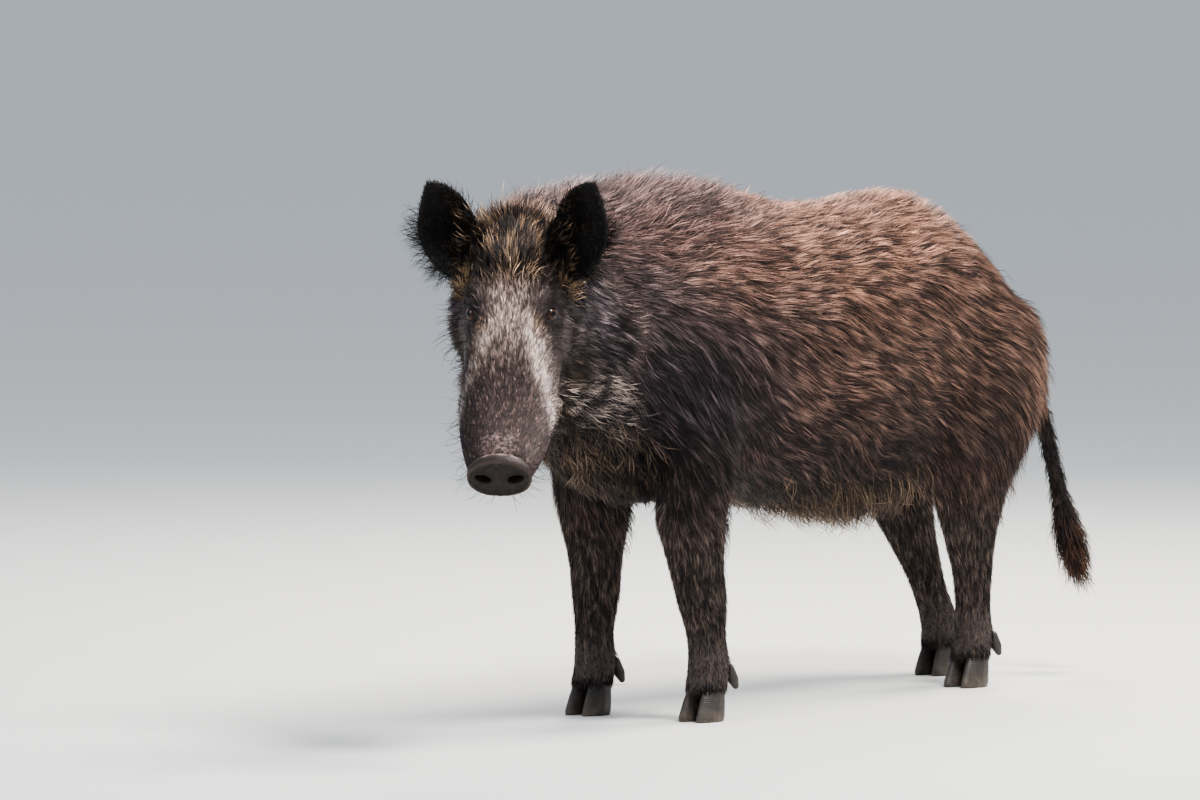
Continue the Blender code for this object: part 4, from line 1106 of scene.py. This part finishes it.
    stiff = dict(tints=((0.006, 0.005, 0.005), (0.02, 0.016, 0.014), 0.5), together=0, curl=0.16)
    spread = sideways(1.3, -0.35, -0.75)
    lips = s.head * (1 - s.disc) * rise(s.ahead, 0.09, 0.13) * fall(s.up, -0.02, 0.004)
    add(200, lips, spread, 32, 0.7, 0.8, 141, wild=0.35, **stiff)
    temple = s.head * rise(s.side, 0.05, 0.07) * span(s.ahead, -0.09, -0.05, 0.03, 0.1) * fall(s.up, 0.04, 0.08)
    add(170, temple, spread, 32, 0.7, 0.8, 143, wild=0.35, **stiff)
    brow = s.head * hill(s.ahead, -0.018, 0.01) * hill(s.side, 0.05, 0.014) * rise(s.up, 0.06, 0.08)
    add(44, brow, sideways(0.9, 0.3, 0.7), 24, 0.6, 0.75, 145, wild=0.3, **stiff)
    brush.finish("whiskers", 3)


def lashes(skin):
    """Stiff dark lashes along the upper lids."""
    made = []
    sine = np.sin(turns(LID_POINTS))
    for side, start in zip(SIDES, skin.lids):
        e = eye_frame(side)
        rng = np.random.default_rng(150 + side)
        for row in (1, 2):
            here = [start + row * LID_POINTS + k for k in range(row % 2, LID_POINTS, 2) if sine[k] > 0.1]
            n, at = len(here), skin.co[here]
            spread = (at - e.centre) @ e.along / EYE_RADIUS
            way = unit(e.gaze + 0.3 * e.up + 0.8 * spread[:, None] * e.along + 0.12 * rng.normal(size=(n, 3)))
            one = at_faces(skin.s, np.array(here)[:, None], 1)
            tuft = Bag(root=at, normal=unit(e.up - way * (way @ e.up)[:, None]), way=way)
            tuft.length, tuft.lift = rng.uniform(0.006, 0.01, n), rng.uniform(0.002, 0.003, n)
            tuft.width, tuft.curl, tuft.drift = np.full(n, 0.00035), np.zeros(n), np.zeros((n, 3))
            tuft.root_tint = tuft.tip_tint = np.full((n, 3), 0.006)
            tuft.uv = unwrap(one, island_of(one))[0]
            made.append(tuft)
    tufts("lashes", joined(made))


# ---- stage
AIM = Vector((-0.0904, -0.2067, 0.461))
SEEN_FROM = Vector((0.6, -0.8, math.tan(math.radians(4)))).normalized()
CAMERA_AWAY = 20
LIT = Vector((0, 0, 0.45))  # the lamps turn towards this
LAMPS = {  # azimuth from the camera's own side, elevation, distance, size, power, colour
    "key": (42, 56, 3.6, 1.2, 165, (1.0, 0.97, 0.93)),
    "fill": (-50, 26, 4.2, 2.0, 46, (0.92, 0.94, 1.0)),
    "top": (122, 62, 3.4, 1.4, 180, (1.0, 0.93, 0.87)),
    "rim": (176, 34, 3.8, 1.2, 90, (1.0, 0.93, 0.86)),
}


def camera_and_stage():
    camera = object_of("camera", bpy.data.cameras.new("camera"))
    camera.location = AIM + SEEN_FROM * CAMERA_AWAY
    camera.rotation_euler = SEEN_FROM.to_track_quat("Z", "Y").to_euler()
    camera.data.lens = 414
    camera.data.sensor_width = 36
    camera.data.clip_end = 100
    bpy.context.scene.camera = camera

    floor = object_of("floor", bpy.data.meshes.new("floor"))
    bm = bmesh.new()
    bmesh.ops.create_grid(bm, x_segments=2, y_segments=2, size=40)
    bm.to_mesh(floor.data)
    bm.free()
    floor.data.materials.append(Nodes("pale_floor").surface(Base_Color=(0.66, 0.66, 0.64), Roughness=0.9))

    world = bpy.data.worlds.new("studio")
    world.use_nodes = True
    fill(world.node_tree, world.node_tree.nodes["Background"], {"Color": (0.82, 0.89, 1.0), "Strength": 0.72})
    bpy.context.scene.world = world
    bpy.context.scene.view_settings.look = "AgX - Medium High Contrast"

    for name, (azimuth, elevation, distance, size, power, colour) in LAMPS.items():
        data = bpy.data.lights.new(name, "AREA")
        data.shape, data.size, data.energy, data.color = "DISK", size, power, colour
        base = math.atan2(SEEN_FROM.y, SEEN_FROM.x) + math.radians(azimuth)
        across, high = math.cos(math.radians(elevation)), math.sin(math.radians(elevation))
        way = Vector((math.cos(base) * across, math.sin(base) * across, high))
        lamp = object_of(name, data)
        lamp.location = LIT + way * distance
        lamp.rotation_euler = way.to_track_quat("Z", "Y").to_euler()


# ---- assembly
def triangles_of(quads):
    return np.concatenate([quads[:, [0, 1, 2]], quads[:, [0, 2, 3]]])


def full_skin():
    """The skin with its lids and snout disc: vertices, triangles, how bare, wet and pitted each vertex is, and the
    first vertex of each lid ring."""
    base = skin_base()
    co, _, faces = read(base.data)
    bpy.data.objects.remove(base, do_unlink=True)
    tree = tree_of(co, faces)
    lids = [lid_ring(side, tree) for side in SIDES]
    co, sunk = sunk_under_lids(co)
    parts = [(co, faces, sunk, 0 * sunk, 0 * sunk)]
    for lid, quads, share in lids:
        parts.append((lid, triangles_of(quads), fall(share, 0.14, 0.34), fall(share, 0.04, 0.16), 0 * share))
    disc, quads, pit = snout_disc()
    parts.append((disc, triangles_of(quads), np.ones(len(disc)), 0.1 * (1 - pit), pit))
    starts = np.cumsum([0, *(len(part[0]) for part in parts)])
    faces = np.concatenate([part[1] + start for part, start in zip(parts, starts)])
    co, bare, wet, pit = (np.concatenate([part[k] for part in parts]) for k in (0, 2, 3, 4))
    return Bag(co=co, faces=faces, bare=bare, wet=wet, pit=pit, lids=starts[1:3])


COMB = 520  # hairs of the bump pattern to a metre, about


def skin_piece(skin):
    """The skin as a piece with its colours. It also gives the skin its normals and zones."""
    co, faces = skin.co, skin.faces
    data = mesh_of("skin", co, faces)
    skin.normals = read(data)[1]
    skin.s = s = zones(co)
    s.front = skin.normals @ AHEAD
    s.bare = skin.bare
    root, tip, share = marking(s, co)
    flesh = 1 - s.disc
    spots = rise(waves(co, 0.0045, 33, 40) + 0.7 * waves(co, 0.011, 34, 40), -0.9, 1)
    rim = rise(np.hypot(s.disc_across / DISC_HALF[0], s.disc_up / DISC_HALF[1]), 0.9, 0.98)
    depth = (co - DISC_AT) @ DISC_AXIS
    # The disc's own near-black colour, with a painted highlight on its rim and painted shade in its nostrils.
    disc_colour_with_painted_light = painted(
        (0.0098, 0.0056, 0.0042),
        # Painted highlight: a paler ring round the disc's front edge stands in for light catching the rim.
        ((0.05, 0.033, 0.027), rim * rise(depth, 0.0085, 0.011)),
        ((0.026, 0.018, 0.016), fall(depth, 0.006, 0.0095)),
        # Painted shade: the inside of each nostril is coloured nearly black, for the shade in the hole.
        ((0.004, 0.003, 0.003), skin.pit),
    )
    tint = painted(
        mix(root, tip, 0.42 * share),
        (HIDE, 0.6 * s.head * rise(s.ahead, 0.15, 0.23) * flesh),
        (mix(HIDE, (0.24, 0.165, 0.155), spots), s.top),
        (disc_colour_with_painted_light, s.disc),
        ((0.046, 0.033, 0.038), 0.9 * clamp(1.6 * s.eye) * flesh),
        ((0.01, 0.007, 0.008), skin.wet * s.eye * flesh),
        ((0.007, 0.0055, 0.0055), s.ear * rise(s.front, 0, 0.4)),
    )
    tinted(data, tint)
    attribute(data, "bare", clamp(skin.bare + 0.4 * s.top))
    attribute(data, "wet", skin.wet)
    attribute(data, "comb", along_lie(s) * COMB, "FLOAT_VECTOR", "vector")
    middle = at_faces(s, faces, 1 / 3)
    island = island_of(middle)
    _, turn = unwrap(middle, island)
    corners = at_faces(s, faces.ravel()[:, None], 1)
    uv, _ = unwrap(corners, np.repeat(island, 3), np.repeat(turn, 3))
    data.uv_layers.new(name="OFBake").data.foreach_set("uv", flat32(uv))
    data.materials.append(skin_material())
    obj = object_of("skin", data)
    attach(obj, "root")
    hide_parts(*FLESH)


COAT = coat_material()
skin = full_skin()
skin_piece(skin)
wet_eye = eye_material()
for side, word in SIDES.items():
    eyeball(side, word, wet_eye)
coat(skin)
fringes(skin)
lashes(skin)
hooves()
camera_and_stage()
